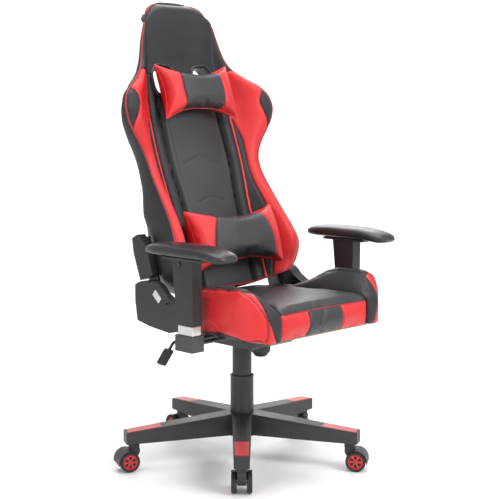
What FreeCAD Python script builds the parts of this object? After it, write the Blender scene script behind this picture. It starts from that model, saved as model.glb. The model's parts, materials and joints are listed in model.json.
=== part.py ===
"""Racing-style gaming chair, a parametric assembly of separate pieces.

Millimetres, +Z up.  The origin is on the floor, on the axis of the column.
The chair faces -Y, so the sitter's left side is +X.
Driving sizes are in the spreadsheet "Sizes"; every sub-part takes its sizes from there.
"""
import FreeCAD, Part
import math
import os
import Sketcher

V = FreeCAD.Vector
UP = V(0, 0, 1)
ALONG_X = V(1, 0, 0)
ALONG_Y = V(0, 1, 0)

doc = FreeCAD.newDocument("GamingChair")
sheet = doc.addObject("Spreadsheet::Sheet", "Sizes")

SIZES = (
    # rolling base
    ("leg_count", 5), ("leg_first_angle", 225), ("base_reach", 330), ("hub_radius", 46),
    ("hub_low", 74), ("hub_top", 137), ("leg_root_width", 52), ("leg_tip_width", 40),
    ("leg_root_low", 77), ("leg_root_top", 137), ("leg_tip_low", 75), ("leg_tip_top", 107),
    ("leg_wall", 5), ("leg_recess", 14), ("boss_radius", 15), ("boss_low", "=hood_top + 0.5"),
    ("insert_start", "=base_reach - 98"), ("insert_end", "=base_reach - 6"),
    ("insert_edge", 3), ("insert_thick", 3), ("insert_proud", 1),
    # casters
    ("caster_inset", 24), ("caster_circle", "=base_reach - caster_inset"),
    ("stem_radius", 5.5), ("stem_low", "=hood_top - 15.5"), ("stem_top", 98),
    ("wheel_radius", 27.5), ("wheel_inner", 12.5), ("wheel_outer", 27), ("wheel_edge", 2),
    ("caster_trail", 18), ("axle_radius", 3), ("cap_radius", 20), ("cap_depth", 2),
    ("cap_hole_radius", 3.2), ("cap_hole_circle", 12.5), ("cap_hole_count", 6),
    ("hood_half", 11.5), ("hood_top", "=2 * wheel_radius + 6.5"),
    ("fender_gap", 1.6), ("fender_thick", 2.4), ("fender_start", -8), ("fender_sweep", 108),
    # gas lift
    ("tube_radius", 25), ("tube_wall", 2), ("tube_low", 66), ("tube_top", 298),
    ("bush_low", 225), ("lift_radius", 14), ("lift_low", 84), ("lift_top", 372),
    ("lift_wall", 1.8), ("rod_radius", 5), ("rod_top", 282), ("piston_low", 264),
    ("bearing_thick", 6), ("clip_thick", 2),
    # telescopic covers of the lift
    ("cover_wall", 1.3), ("cover_upper_radius", "=tube_radius + cover_wall + 0.3"),
    ("cover_middle_radius", "=cover_upper_radius + cover_wall + 1.4"),
    ("cover_lower_radius", "=cover_middle_radius + cover_wall + 1.7"),
    ("cover_lower_top", 240), ("cover_middle_length", 98), ("cover_upper_length", 110),
    # tilt mechanism
    ("mech_low", 335), ("mech_half", 75), ("mech_front", 125), ("mech_rear", 85),
    ("mech_wall", 4), ("mech_top_front", 386), ("mech_top_rear", 359.5), ("tilt_ahead", 45),
    ("tilt_height", 372), ("tilt_pin_radius", 6), ("knob_radius", 26.5), ("knob_nose", 17),
    ("knob_low", 303), ("knob_ahead", 72), ("spring_radius", 15), ("spring_wire", 2.5),
    # height and tilt-lock lever
    ("lever_ahead", 20), ("lever_height", 372), ("lever_radius", 4), ("lever_pin_radius", 2),
    ("lever_pin_half", 73), ("lever_straight", 268), ("lever_drop_angle", 50),
    ("lever_drop", 62), ("lever_turn", 16), ("bush_radius", 6.5),
    ("grip_length", 46), ("grip_width", 30), ("grip_thick", 12),
    # seat
    ("plate_low", 388), ("plate_thick", 5), ("plate_half", 100), ("pan_low", 393),
    ("pan_thick", 12), ("pan_half", 205), ("seat_front", 309), ("seat_rear", 104),
    ("seat_inner_half", 165), ("seat_half", 262), ("seat_top", 470), ("seat_rear_top", 454),
    ("seat_lip_low", 396), ("bolster_crest", 533), ("soft_gap", 0.4),
    # recliner joint between seat and back
    ("recline_behind", 85), ("recline_height", 450), ("bracket_thick", 5),
    ("upper_bracket_half", 218), ("lower_bracket_half", 226), ("bracket_width", 40),
    ("bracket_length", 185), ("hinge_pin_radius", 8), ("side_cover_half", 236),
    ("side_cover_thick", 36), ("side_cover_radius", 70), ("side_cover_wall", 3),
    ("back_cover_thick", 28), ("recline_lever_ahead", -42), ("recline_lever_height", 512),
    # armrests
    ("arm_clear", 43), ("arm_half", "=seat_half + arm_clear"), ("arm_ahead", 122),
    ("arm_bar_width", 22), ("arm_bar_reach", 112),
    ("socket_low", 370), ("socket_top", 410), ("socket_width", 40), ("socket_depth", 63),
    ("collar_width", 30), ("collar_depth", 53), ("collar_top", 434.6), ("post_width", 22),
    ("post_depth", 46), ("post_top", 560), ("sleeve_low", 435), ("sleeve_top", 598),
    ("sleeve_width", 33), ("sleeve_low_depth", 57), ("sleeve_top_depth", 75),
    ("sleeve_bore_top", 574), ("pad_pin_radius", 8), ("pad_pin_depth", 13),
    ("button_radius", 7), ("button_height", 585),
    ("pad_plate_thick", 6), ("pad_plate_width", 56), ("pad_plate_depth", 143),
    ("pad_width", 88), ("pad_front", 268), ("pad_rear", 17), ("pad_thick", 34),
    # backrest, in a frame that leans with it
    ("lean_angle", 19), ("lean_foot", 129.6), ("back_low", 512), ("back_top", 1325),
    ("back_foam", 50), ("back_thick", 80), ("panel_wall", 7), ("wing_start", 125),
    ("lobe_half", 234), ("lobe_up", 600), ("waist_half", 207), ("waist_up", 835),
    ("shoulder_half", 276), ("shoulder_up", 1008), ("neck_half", 160), ("neck_up", 1153),
    ("rear_lobe_half", 190), ("rear_waist_half", 166), ("rear_shoulder_half", 183),
    ("upper_foam", 22), ("upper_thick", 42), ("taper_low", 910), ("taper_high", 1060),
    ("frame_radius", 9), ("frame_half", 140), ("strap_inner", 34), ("strap_outer", 116),
    ("strap_low", 1062), ("strap_high", 1154), ("trim_wall", 5),
    # loose pillows
    ("neck_pillow_half", 132), ("neck_pillow_low", 1000), ("neck_pillow_high", 1138),
    ("neck_pillow_thick", 78), ("lumbar_half", 165), ("lumbar_low", 548),
    ("lumbar_high", 722), ("lumbar_thick", 104), ("pillow_gap", 1.5),
    # fits
    ("running", 0.05), ("sliding", 0.3),
)
CASTER_TURNS = (45, 303.6, 189, 81, 158)

for row, (alias, value) in enumerate(SIZES, start=1):
    sheet.set("A%d" % row, alias)
    sheet.set("B%d" % row, str(value))
    sheet.setAlias("B%d" % row, alias)
doc.recompute()

subparts = []


def number(expression):
    """Value of an expression over the sheet, as a plain number."""
    return float(sheet.evalExpression(linked(expression)))


def linked(expression):
    """Write 'Sizes.' before every size named in an expression."""
    words = []
    word = ""
    for letter in str(expression) + " ":
        if letter.isalnum() or letter in "_.":
            word += letter
            continue
        words.append("Sizes." + word if word in ALIASES else word)
        words.append(letter)
        word = ""
    return "".join(words).strip()


ALIASES = {alias for alias, value in SIZES}


def bind(thing, prop, expression):
    thing.setExpression(prop, linked(expression))


def keep(thing, label):
    """Register a finished sub-part under its own name."""
    thing.Label = label
    subparts.append(thing)
    return thing


def place(thing, x="0", y="0", z="0"):
    bind(thing, "Placement.Base.x", x)
    bind(thing, "Placement.Base.y", y)
    bind(thing, "Placement.Base.z", z)
    return thing


def box(x0, x1, y0, y1, z0, z1):
    """Block between two corners, each given as an expression."""
    block = doc.addObject("Part::Box", "Block")
    bind(block, "Length", "(%s) - (%s)" % (x1, x0))
    bind(block, "Width", "(%s) - (%s)" % (y1, y0))
    bind(block, "Height", "(%s) - (%s)" % (z1, z0))
    return place(block, x0, y0, z0)


AXIS_TURN = {"X": FreeCAD.Rotation(ALONG_Y, 90), "Y": FreeCAD.Rotation(ALONG_X, -90),
             "Z": FreeCAD.Rotation()}


def cylinder(radius, length, x="0", y="0", z="0", axis="Z"):
    """Round bar that starts at a point and runs along a positive axis."""
    bar = doc.addObject("Part::Cylinder", "Round")
    bar.Placement = FreeCAD.Placement(V(), AXIS_TURN[axis])
    bind(bar, "Radius", radius)
    bind(bar, "Height", length)
    return place(bar, x, y, z)


def cut(base, *tools):
    for tool in tools:
        result = doc.addObject("Part::Cut", "Cut")
        result.Base = base
        result.Tool = tool
        base = result
    return base


def fuse(*pieces):
    result = doc.addObject("Part::MultiFuse", "Fused")
    result.Shapes = list(pieces)
    return result


def common(*pieces):
    result = doc.addObject("Part::MultiCommon", "Shared")
    result.Shapes = list(pieces)
    return result


def group(label, pieces):
    """Several separate solids that share one node."""
    result = doc.addObject("Part::Compound", "Group")
    result.Links = list(pieces)
    return keep(result, label)


def new_body():
    return doc.addObject("PartDesign::Body", "Body")


def outline(body, plane, corners, offset=None):
    """Closed outline; two driving distances hold each of its corners."""
    sketch = body.newObject("Sketcher::SketchObject", "Outline")
    for feature in body.Origin.OriginFeatures:
        if feature.Role == plane:
            sketch.AttachmentSupport = (feature, "")
    sketch.MapMode = "FlatFace"
    if offset is not None:
        bind(sketch, "AttachmentOffset.Base.z", offset)
    points = [V(number(u), number(v), 0) for u, v in corners]
    count = len(corners)
    for i in range(count):
        sketch.addGeometry(Part.LineSegment(points[i], points[(i + 1) % count]), False)
    for i in range(count):
        sketch.addConstraint(Sketcher.Constraint("Coincident", i, 2, (i + 1) % count, 1))
    for i, (u, v) in enumerate(corners):
        across = sketch.addConstraint(
            Sketcher.Constraint("DistanceX", -1, 1, i, 1, points[i].x))
        bind(sketch, "Constraints[%d]" % across, u)
        upward = sketch.addConstraint(
            Sketcher.Constraint("DistanceY", -1, 1, i, 1, points[i].y))
        bind(sketch, "Constraints[%d]" % upward, v)
    return sketch


def turned(corners, plane="XZ_Plane"):
    """Solid of revolution about the second axis of its sketch plane."""
    body = new_body()
    sketch = outline(body, plane, corners)
    feature = body.newObject("PartDesign::Revolution", "Turned")
    feature.Profile = sketch
    feature.ReferenceAxis = (sketch, ["V_Axis"])
    feature.Angle = 360
    return body


def prism(plane, corners, start, length, reverse=False):
    """Straight extrusion of an outline along the normal of its plane."""
    body = new_body()
    sketch = outline(body, plane, corners, start)
    feature = body.newObject("PartDesign::Pad", "Extruded")
    feature.Profile = sketch
    bind(feature, "Length", length)
    feature.Reversed = reverse
    return body


def even_prism(plane, corners, length):
    """Extrusion with half of its length on each side of the plane."""
    body = prism(plane, corners, "0", length)
    body.Tip.Midplane = True
    return body


def side_prism(corners, side, near, length):
    """Plate in a Y-Z plane, at a distance from the middle of the chair."""
    start = near if side > 0 else "-(%s)" % near
    return prism("YZ_Plane", corners, start, length, reverse=side < 0)


def lofted(sections):
    """Straight loft through rectangles; each is (x, half_width, low, top)."""
    body = new_body()
    sketches = []
    for x, half, low, top in sections:
        corners = [("-(%s)" % half, low), (half, low), (half, top), ("-(%s)" % half, top)]
        sketches.append(outline(body, "YZ_Plane", corners, x))
    loft = body.newObject("PartDesign::AdditiveLoft", "Loft")
    loft.Profile = sketches[0]
    loft.Sections = sketches[1:]
    loft.Ruled = True
    return body


def spun(thing, angle, centre=V()):
    """Turn an object about a vertical axis through a point."""
    turn = FreeCAD.Placement(V(), FreeCAD.Rotation(UP, angle), centre)
    thing.Placement = turn.multiply(thing.Placement)
    return thing


def leaned(thing):
    """Set an object that was drawn upright onto the lean of the backrest."""
    lean = FreeCAD.Rotation(ALONG_X, -number("lean_angle"))
    thing.Placement = FreeCAD.Placement(V(0, -number("lean_foot"), 0), lean)
    return thing


def leg_angles():
    step = 360.0 / number("leg_count")
    return [number("leg_first_angle") + step * n for n in range(int(number("leg_count")))]


SIDES = (("left", 1), ("right", -1))


# ---------------------------------------------------------------- rolling base

def leg_line(x, root, tip):
    """Height or width of a leg at a distance from the axis."""
    return "(%s) + ((%s) - (%s)) * ((%s) - 30) / (base_reach - 30)" % (root, tip, root, x)


def leg_section(x, narrower, low_trim, top_trim):
    half = "(%s) / 2 - (%s)" % (leg_line(x, "leg_root_width", "leg_tip_width"), narrower)
    low = "%s + (%s)" % (leg_line(x, "leg_root_low", "leg_tip_low"), low_trim)
    top = "%s + (%s)" % (leg_line(x, "leg_root_top", "leg_tip_top"), top_trim)
    return (x, half, low, top)


def leg_insert():
    """Coloured strip let into the top of a leg near its tip."""
    depth = "-(insert_thick)"
    strip = lofted([leg_section("insert_start", "insert_edge", "10", "insert_proud"),
                    leg_section("insert_end", "insert_edge", "10", "insert_proud")])
    core = lofted([leg_section("insert_start - 1", "0 - 1", "0", depth),
                   leg_section("insert_end + 1", "0 - 1", "0", depth)])
    return cut(strip, core)


def leg_recess(x):
    """Section of the hollow under a leg, above the ribs that fill the rest."""
    half = "(%s) / 2 - leg_wall" % leg_line(x, "leg_root_width", "leg_tip_width")
    low = leg_line(x, "leg_root_low", "leg_tip_low")
    return (x, half, low + " - 5", low + " + leg_recess")


def leg():
    """One arm: recessed below, with a caster socket near its tip."""
    beam = lofted([leg_section("30", "0", "0", "0"),
                   leg_section("base_reach", "0", "0", "0")])
    channel = lofted([leg_recess("hub_radius + 16"), leg_recess("caster_circle - 24")])
    boss = cylinder("boss_radius", "leg_tip_low + 4 - boss_low", "caster_circle", "0",
                    "boss_low")
    hole = cylinder("stem_radius", "stem_top - boss_low + 1", "caster_circle", "0",
                    "boss_low - 1")
    return cut(fuse(cut(beam, channel), boss), hole, leg_insert())


def star_base():
    hub = turned([("tube_radius", "hub_low"), ("hub_radius - 4", "hub_low"),
                  ("hub_radius", "hub_low + 4"), ("hub_radius", "hub_top - 4"),
                  ("hub_radius - 8", "hub_top"), ("tube_radius", "hub_top")])
    legs = [spun(leg(), angle) for angle in leg_angles()]
    bore = cylinder("tube_radius", "200", z="20")
    return keep(cut(fuse(hub, *legs), bore), "star_base")


def leg_inserts():
    group("leg_inserts", [spun(leg_insert(), angle) for angle in leg_angles()])


def caster_stems():
    stems = []
    for angle in leg_angles():
        stem = cylinder("stem_radius", "stem_top - stem_low", "caster_circle", "0", "stem_low")
        stems.append(spun(freed(stem), angle))
    group("caster_stems", stems)


# --------------------------------------------------------------------- casters

def caster_hood():
    """Body between the two wheels, with a fender over their trailing side."""
    body = even_prism("XZ_Plane", [
        ("-13", "hood_top"), ("13", "hood_top"), ("20", "hood_top - 4"),
        ("caster_trail + 14", "wheel_radius + 20"), ("caster_trail + 10", "wheel_radius"),
        ("caster_trail + 6", "wheel_radius - 7"), ("caster_trail - 6", "wheel_radius - 7"),
        ("caster_trail - 22", "wheel_radius + 6"), ("-13", "wheel_radius + 22")],
        "2 * hood_half")
    inner = "wheel_radius + fender_gap"
    fender = doc.addObject("Part::Cylinder", "Fender")
    bind(fender, "Radius", inner + " + fender_thick")
    bind(fender, "Height", "2 * wheel_outer")
    bind(fender, "Angle", "fender_sweep")
    lay = FreeCAD.Rotation(ALONG_X, 90)
    start = FreeCAD.Rotation(ALONG_Y, -number("fender_start"))
    fender.Placement = FreeCAD.Placement(V(), start.multiply(lay))
    place(fender, "caster_trail", "wheel_outer", "wheel_radius")
    hollow = cylinder(inner, "2 * wheel_outer + 2", "caster_trail", "-wheel_outer - 1",
                      "wheel_radius", axis="Y")
    socket = cylinder("stem_radius + running", "hood_top", z="stem_low - 0.4")
    axle_hole = cylinder("axle_radius + running", "2 * hood_half + 2", "caster_trail",
                         "-hood_half - 1", "wheel_radius", axis="Y")
    return cut(fuse(body, cut(fender, hollow)), socket, axle_hole)


def caster_wheels():
    """Two tyred wheels pressed on one axle; the outer faces are dished for the caps."""
    rim = "wheel_radius - wheel_edge"
    face = "wheel_outer - cap_depth"
    half = [("axle_radius", "wheel_inner"), (rim, "wheel_inner"),
            ("wheel_radius", "wheel_inner + wheel_edge"),
            ("wheel_radius", "wheel_outer - wheel_edge"), (rim, "wheel_outer"),
            ("cap_radius", "wheel_outer"), ("cap_radius", face), ("0", face)]
    other = [(r, "-(%s)" % y) for r, y in reversed(half)]
    wheels = turned(other + half, plane="XY_Plane")
    return place(wheels, "caster_trail", "0", "wheel_radius")


def caster_cap(side):
    """Coloured disc with a ring of round holes, on the outer face of a wheel."""
    body = new_body()
    sketch = body.newObject("Sketcher::SketchObject", "Disc")
    for feature in body.Origin.OriginFeatures:
        if feature.Role == "XY_Plane":
            sketch.AttachmentSupport = (feature, "")
    sketch.MapMode = "FlatFace"
    disc = sketch.addGeometry(Part.Circle(V(), UP, number("cap_radius")), False)
    sketch.addConstraint(Sketcher.Constraint("Coincident", disc, 3, -1, 1))
    width = sketch.addConstraint(Sketcher.Constraint("Radius", disc, number("cap_radius")))
    bind(sketch, "Constraints[%d]" % width, "cap_radius")
    step = 2 * math.pi / number("cap_hole_count")
    circle = number("cap_hole_circle")
    for n in range(int(number("cap_hole_count"))):
        centre = V(circle * math.cos(n * step), circle * math.sin(n * step), 0)
        hole = sketch.addGeometry(Part.Circle(centre, UP, number("cap_hole_radius")), False)
        size = sketch.addConstraint(
            Sketcher.Constraint("Radius", hole, number("cap_hole_radius")))
        bind(sketch, "Constraints[%d]" % size, "cap_hole_radius")
        for kind, wave in (("DistanceX", "cos"), ("DistanceY", "sin")):
            start = centre.x if kind == "DistanceX" else centre.y
            held = sketch.addConstraint(Sketcher.Constraint(kind, -1, 1, hole, 3, start))
            bind(sketch, "Constraints[%d]" % held,
                 "cap_hole_circle * %s(%d * 360 / cap_hole_count * 1 deg)" % (wave, n))
    pad = body.newObject("PartDesign::Pad", "Extruded")
    pad.Profile = sketch
    bind(pad, "Length", "cap_depth + 0.4")
    body.Placement = FreeCAD.Placement(V(), FreeCAD.Rotation(ALONG_X, -90 * side))
    return place(body, "caster_trail", "%d * (wheel_outer - cap_depth)" % side, "wheel_radius")


def casters():
    for number_on_base, (angle, turn) in enumerate(zip(leg_angles(), CASTER_TURNS), start=1):
        reach = number("caster_circle")
        foot = V(reach * math.cos(math.radians(angle)), reach * math.sin(math.radians(angle)), 0)
        stand = FreeCAD.Placement(foot, FreeCAD.Rotation(UP, turn))

        def stood(piece):
            piece.Placement = stand.multiply(piece.Placement)
            return piece

        keep(stood(caster_hood()), "caster_hood_%d" % number_on_base)
        turning = [stood(freed(caster_wheels()))]
        turning += [stood(freed(caster_cap(side))) for side in (1, -1)]
        group("caster_wheels_%d" % number_on_base, turning)


def freed(thing):
    """Let go of the position expressions, so that the object can be stood elsewhere."""
    doc.recompute()
    for axis in "xyz":
        thing.setExpression("Placement.Base." + axis, None)
    return thing


# -------------------------------------------------------------------- gas lift

def gas_lift():
    inner = "tube_radius - tube_wall"
    floor = "tube_low + 4"
    keep(turned([("rod_radius + running", "tube_low"), ("tube_radius", "tube_low"),
                 ("tube_radius", "tube_top"), (inner, "tube_top"), (inner, floor),
                 ("rod_radius + running", floor)]), "stand_tube")
    keep(turned([("lift_radius + running", "bush_low"), (inner, "bush_low"),
                 (inner, "tube_top"), ("lift_radius + running", "tube_top")]), "guide_bush")
    bearing = turned([("rod_radius + running", floor), ("13", floor),
                      ("13", floor + " + bearing_thick"),
                      ("rod_radius + running", floor + " + bearing_thick")])
    groove = "tube_low - clip_thick"
    clip = turned([("rod_radius - 1", groove), ("9", groove), ("9", "tube_low - sliding"),
                   ("rod_radius - 1", "tube_low - sliding")])
    group("thrust_bearing_and_clip", [bearing, clip])
    head = "lift_radius - lift_wall - running"
    keep(turned([("0", "tube_low - 4"), ("rod_radius", "tube_low - 4"),
                 ("rod_radius", groove), ("rod_radius - 1", groove),
                 ("rod_radius - 1", "tube_low - sliding"), ("rod_radius", "tube_low - sliding"),
                 ("rod_radius", "tube_low + 10.3"), ("rod_radius + 3", "tube_low + 10.3"),
                 ("rod_radius + 3", "tube_low + 13"), ("rod_radius", "tube_low + 13"),
                 ("rod_radius", "piston_low"), (head, "piston_low"), (head, "rod_top"),
                 ("0", "rod_top")]), "piston_rod")
    bore = "lift_radius - lift_wall"
    keep(turned([("rod_radius + running", "lift_low"), ("lift_radius", "lift_low"),
                 ("lift_radius", "lift_top"), ("0", "lift_top"), ("0", "lift_top - 6"),
                 (bore, "lift_top - 6"), (bore, "lift_low + 16"),
                 ("rod_radius + running", "lift_low + 16")]), "pressure_cylinder")


def dust_cover(label, radius, low, top, lip):
    """Thin sleeve; its top edge has a small rolled lip."""
    bore = "(%s) - cover_wall" % radius
    keep(turned([(bore, low), (radius, low), (radius, "(%s) - 4" % top),
                 ("(%s) + (%s)" % (radius, lip), "(%s) - 3" % top),
                 ("(%s) + (%s)" % (radius, lip), top), (bore, top)]), label)


def dust_covers():
    dust_cover("dust_cover_lower", "cover_lower_radius", "hub_top", "cover_lower_top", "1")
    dust_cover("dust_cover_middle", "cover_middle_radius",
               "cover_lower_top - 2 - cover_middle_length", "cover_lower_top - 2", "0.5")
    dust_cover("dust_cover_upper", "cover_upper_radius", "mech_low - cover_upper_length",
               "mech_low - 0.5", "0.4")


# -------------------------------------------------------------- tilt mechanism

def mechanism():
    shell = even_prism("YZ_Plane", [
        ("-mech_front", "mech_low + 8"), ("-mech_front + 14", "mech_low"),
        ("mech_rear", "mech_low"), ("mech_rear", "mech_top_rear"),
        ("-tilt_ahead - 3", "mech_top_front"), ("-mech_front", "mech_top_front - 6")],
        "2 * mech_half")
    hollow = even_prism("YZ_Plane", [
        ("-mech_front + mech_wall", "mech_low + 10"),
        ("-mech_front + 14 + mech_wall", "mech_low + mech_wall"),
        ("mech_rear - mech_wall", "mech_low + mech_wall"),
        ("mech_rear - mech_wall", "mech_top_rear + 20"),
        ("-mech_front + mech_wall", "mech_top_front + 20")],
        "2 * (mech_half - mech_wall)")
    socket = cylinder("lift_radius + 6", "lift_top - 2 - mech_low", z="mech_low")
    bore = cylinder("lift_radius", "100", z="mech_low - 1")
    nut = cylinder("9", "12", y="-knob_ahead", z="mech_low")
    screw_hole = cylinder("5 + running", "60", y="-knob_ahead", z="mech_low - 1")
    pin_hole = cylinder("tilt_pin_radius", "2 * mech_half + 2", "-mech_half - 1",
                        "-tilt_ahead", "tilt_height", axis="X")
    lever_hole = cylinder("bush_radius + running", "mech_wall + 2", "-mech_half - 1",
                          "-lever_ahead", "lever_height", axis="X")
    keep(cut(fuse(cut(shell, hollow), socket, nut), bore, screw_hole, pin_hole, lever_hole),
         "mechanism_housing")
    keep(cylinder("tilt_pin_radius", "2 * mech_half + 24", "-mech_half - 12",
                  "-tilt_ahead", "tilt_height", axis="X"), "tilt_pivot_pin")
    tilt_spring()
    knob = turned([("0", "knob_low"), ("knob_nose - 2", "knob_low"),
                   ("knob_nose", "knob_low + 2"), ("knob_radius", "knob_low + 14"),
                   ("knob_radius", "mech_low - 3"), ("knob_radius - 2", "mech_low - 0.6"),
                   ("5", "mech_low - 0.6"), ("5", "mech_low + 14"), ("0", "mech_low + 14")])
    keep(place(knob, y="-knob_ahead"), "tension_knob")


def tilt_spring():
    """Compression spring that stands round the tension screw."""
    low = number("mech_low") + 15
    rise = number("mech_top_front") - 8 - low
    turns = 4
    coil = Part.makeHelix(rise / turns, rise, number("spring_radius"))
    section = Part.Wire([Part.Circle(V(number("spring_radius"), 0, 0), ALONG_Y,
                                     number("spring_wire")).toShape()])
    solid = Part.Wire(coil.Edges).makePipeShell([section], True, True)
    spring = doc.addObject("Part::Feature", "TiltSpring")
    spring.Shape = solid
    spring.Placement = FreeCAD.Placement(V(0, -number("knob_ahead"), low),
                                         FreeCAD.Rotation())
    keep(spring, "tilt_spring")


def lever_path():
    """Centre line of the lever: straight out to the side, then down."""
    angle = math.radians(number("lever_drop_angle"))
    turn = number("lever_turn")
    corner_run = turn * math.tan(angle / 2)
    start = V(-48, -number("lever_ahead"), number("lever_height"))
    corner = V(-number("lever_straight"), start.y, start.z)
    down = V(-math.cos(angle), 0, -math.sin(angle))
    before = corner + V(corner_run, 0, 0)
    after = corner + down * corner_run
    centre = before + V(0, 0, -turn)
    half = angle / 2
    middle = centre + V(-math.sin(half), 0, math.cos(half)) * turn
    tip = corner + down * number("lever_drop")
    edges = [Part.LineSegment(start, before).toShape(),
             Part.Arc(before, middle, after).toShape(),
             Part.LineSegment(after, tip).toShape()]
    return Part.Wire(edges), start, tip, down


def release_lever():
    path, start, tip, down = lever_path()
    section = Part.Wire([Part.Circle(start, ALONG_X, number("lever_radius")).toShape()])
    rod = doc.addObject("Part::Feature", "ReleaseLever")
    pin_radius = number("lever_pin_radius")
    pin_reach = number("bush_radius") - 0.6
    pin_start = V(-number("lever_pin_half"), start.y - pin_reach, start.z)
    pin = Part.makeCylinder(pin_radius, 2 * pin_reach, pin_start, ALONG_Y)
    rod.Shape = path.makePipeShell([section], True, True).fuse(pin)
    keep(rod, "release_lever")

    grip_length = number("grip_length")
    grip_start = tip - down * (grip_length - 6)
    blade = Part.makeBox(grip_length, number("grip_width"), number("grip_thick"),
                         V(0, -number("grip_width") / 2, -number("grip_thick") / 2))
    blade = blade.makeFillet(number("grip_thick") / 2.2,
                             [edge for edge in blade.Edges if abs(edge.tangentAt(0).z) > 0.9])
    blade = blade.makeFillet(number("grip_thick") / 3,
                             [edge for edge in blade.Edges if abs(edge.CenterOfMass.z) > 5])
    lay = FreeCAD.Rotation(ALONG_Y, 180 - number("lever_drop_angle"))
    blade.Placement = FreeCAD.Placement(grip_start, lay)
    grip = doc.addObject("Part::Feature", "LeverGrip")
    grip.Shape = blade.cut(rod.Shape)
    keep(grip, "lever_grip")

    bush = cylinder("bush_radius", "34", "-mech_half - 13", "-lever_ahead", "lever_height",
                    axis="X")
    flange = cylinder("bush_radius + 1.5", "3", "-mech_half - 13", "-lever_ahead",
                      "lever_height", axis="X")
    clearance = cylinder("lever_radius + 1.2", "40", "-mech_half - 16", "-lever_ahead",
                         "lever_height", axis="X")
    pin_hole = cylinder("lever_pin_radius + running", "2 * bush_radius + 2", "-lever_pin_half",
                        "-lever_ahead - bush_radius - 1", "lever_height", axis="Y")
    keep(cut(fuse(bush, flange), clearance, pin_hole), "lever_bush")


# ------------------------------------------------------------------------ seat

BOLT_SPOTS = (("88", "-130"), ("88", "72"))


def arm_bar_lines():
    """Middle of the two flat bars of an armrest, along Y."""
    spread = "(socket_depth - arm_bar_width) / 2"
    return ("-arm_ahead - (%s)" % spread, "-arm_ahead + (%s)" % spread)


def bolt_places(side):
    """Every bolt under the seat on one side, as x and y expressions."""
    spots = [("%d * %s" % (side, x), y) for x, y in BOLT_SPOTS]
    spots += [("%d * 160" % side, y) for y in arm_bar_lines()]
    spots += [("%d * 185" % side, y) for y in ("30", "70")]
    return spots


def bolt_holes():
    holes = []
    for name, side in SIDES:
        for x, y in bolt_places(side):
            holes.append(cylinder("4", "plate_thick + 9", x, y, "plate_low - 1"))
    return holes


def seat_structure():
    seat_plate()
    pan = prism("XY_Plane", [
        ("-pan_half + 20", "-seat_front + 20"), ("pan_half - 20", "-seat_front + 20"),
        ("pan_half", "-seat_front + 60"), ("pan_half", "seat_rear - 30"),
        ("pan_half - 22", "seat_rear - 8"), ("-pan_half + 22", "seat_rear - 8"),
        ("-pan_half", "seat_rear - 30"), ("-pan_half", "-seat_front + 60")],
        "pan_low", "pan_thick")
    keep(cut(pan, fuse(*bolt_holes())), "seat_pan")
    bolts = []
    for name, side in SIDES:
        for x, y in bolt_places(side):
            shank = cylinder("4", "plate_thick + 8", x, y, "plate_low")
            head = cylinder("6.5", "4", x, y, "plate_low - 4")
            bolts.append(fuse(shank, head))
    group("seat_bolts", bolts)


def seat_plate():
    """Steel plate with two ears that hang on the tilt pin."""
    top = box("-plate_half", "plate_half", "-mech_front - 20", "mech_rear + 10", "plate_low",
              "plate_low + plate_thick")
    holes = []
    for name, side in SIDES:
        for x, y in BOLT_SPOTS:
            holes.append(cylinder("4", "plate_thick + 2", "%d * %s" % (side, x), y,
                                  "plate_low - 1"))
    ears = []
    for name, side in SIDES:
        near = "mech_half + 2" if side > 0 else "-mech_half - 6"
        far = "mech_half + 6" if side > 0 else "-mech_half - 2"
        ears.append(box(near, far, "-tilt_ahead - 14", "-tilt_ahead + 10",
                        "tilt_height - 12", "plate_low + 1"))
    pin_hole = cylinder("tilt_pin_radius + running", "2 * mech_half + 40", "-mech_half - 20",
                        "-tilt_ahead", "tilt_height", axis="X")
    keep(cut(fuse(top, *ears), fuse(*holes), pin_hole), "seat_plate")


def seat_upholstery():
    top = "pan_low + pan_thick"
    profile = [
        ("-seat_front + 17", "seat_lip_low"), ("-seat_front + 5", "seat_lip_low"),
        ("-seat_front", "seat_lip_low + 10"), ("-seat_front", "seat_top - 18"),
        ("-seat_front + 6", "seat_top - 4"), ("-seat_front + 24", "seat_top + 4"),
        ("-200", "seat_top + 2"), ("-60", "seat_top - 4"), ("seat_rear - 10", "seat_rear_top"),
        ("seat_rear", "seat_rear_top - 8"), ("seat_rear", top), ("-seat_front + 17", top)]
    keep(even_prism("YZ_Plane", profile, "2 * seat_inner_half"), "seat_cushion")
    for name, side in SIDES:
        seat_bolster(name, side, top)


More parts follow.
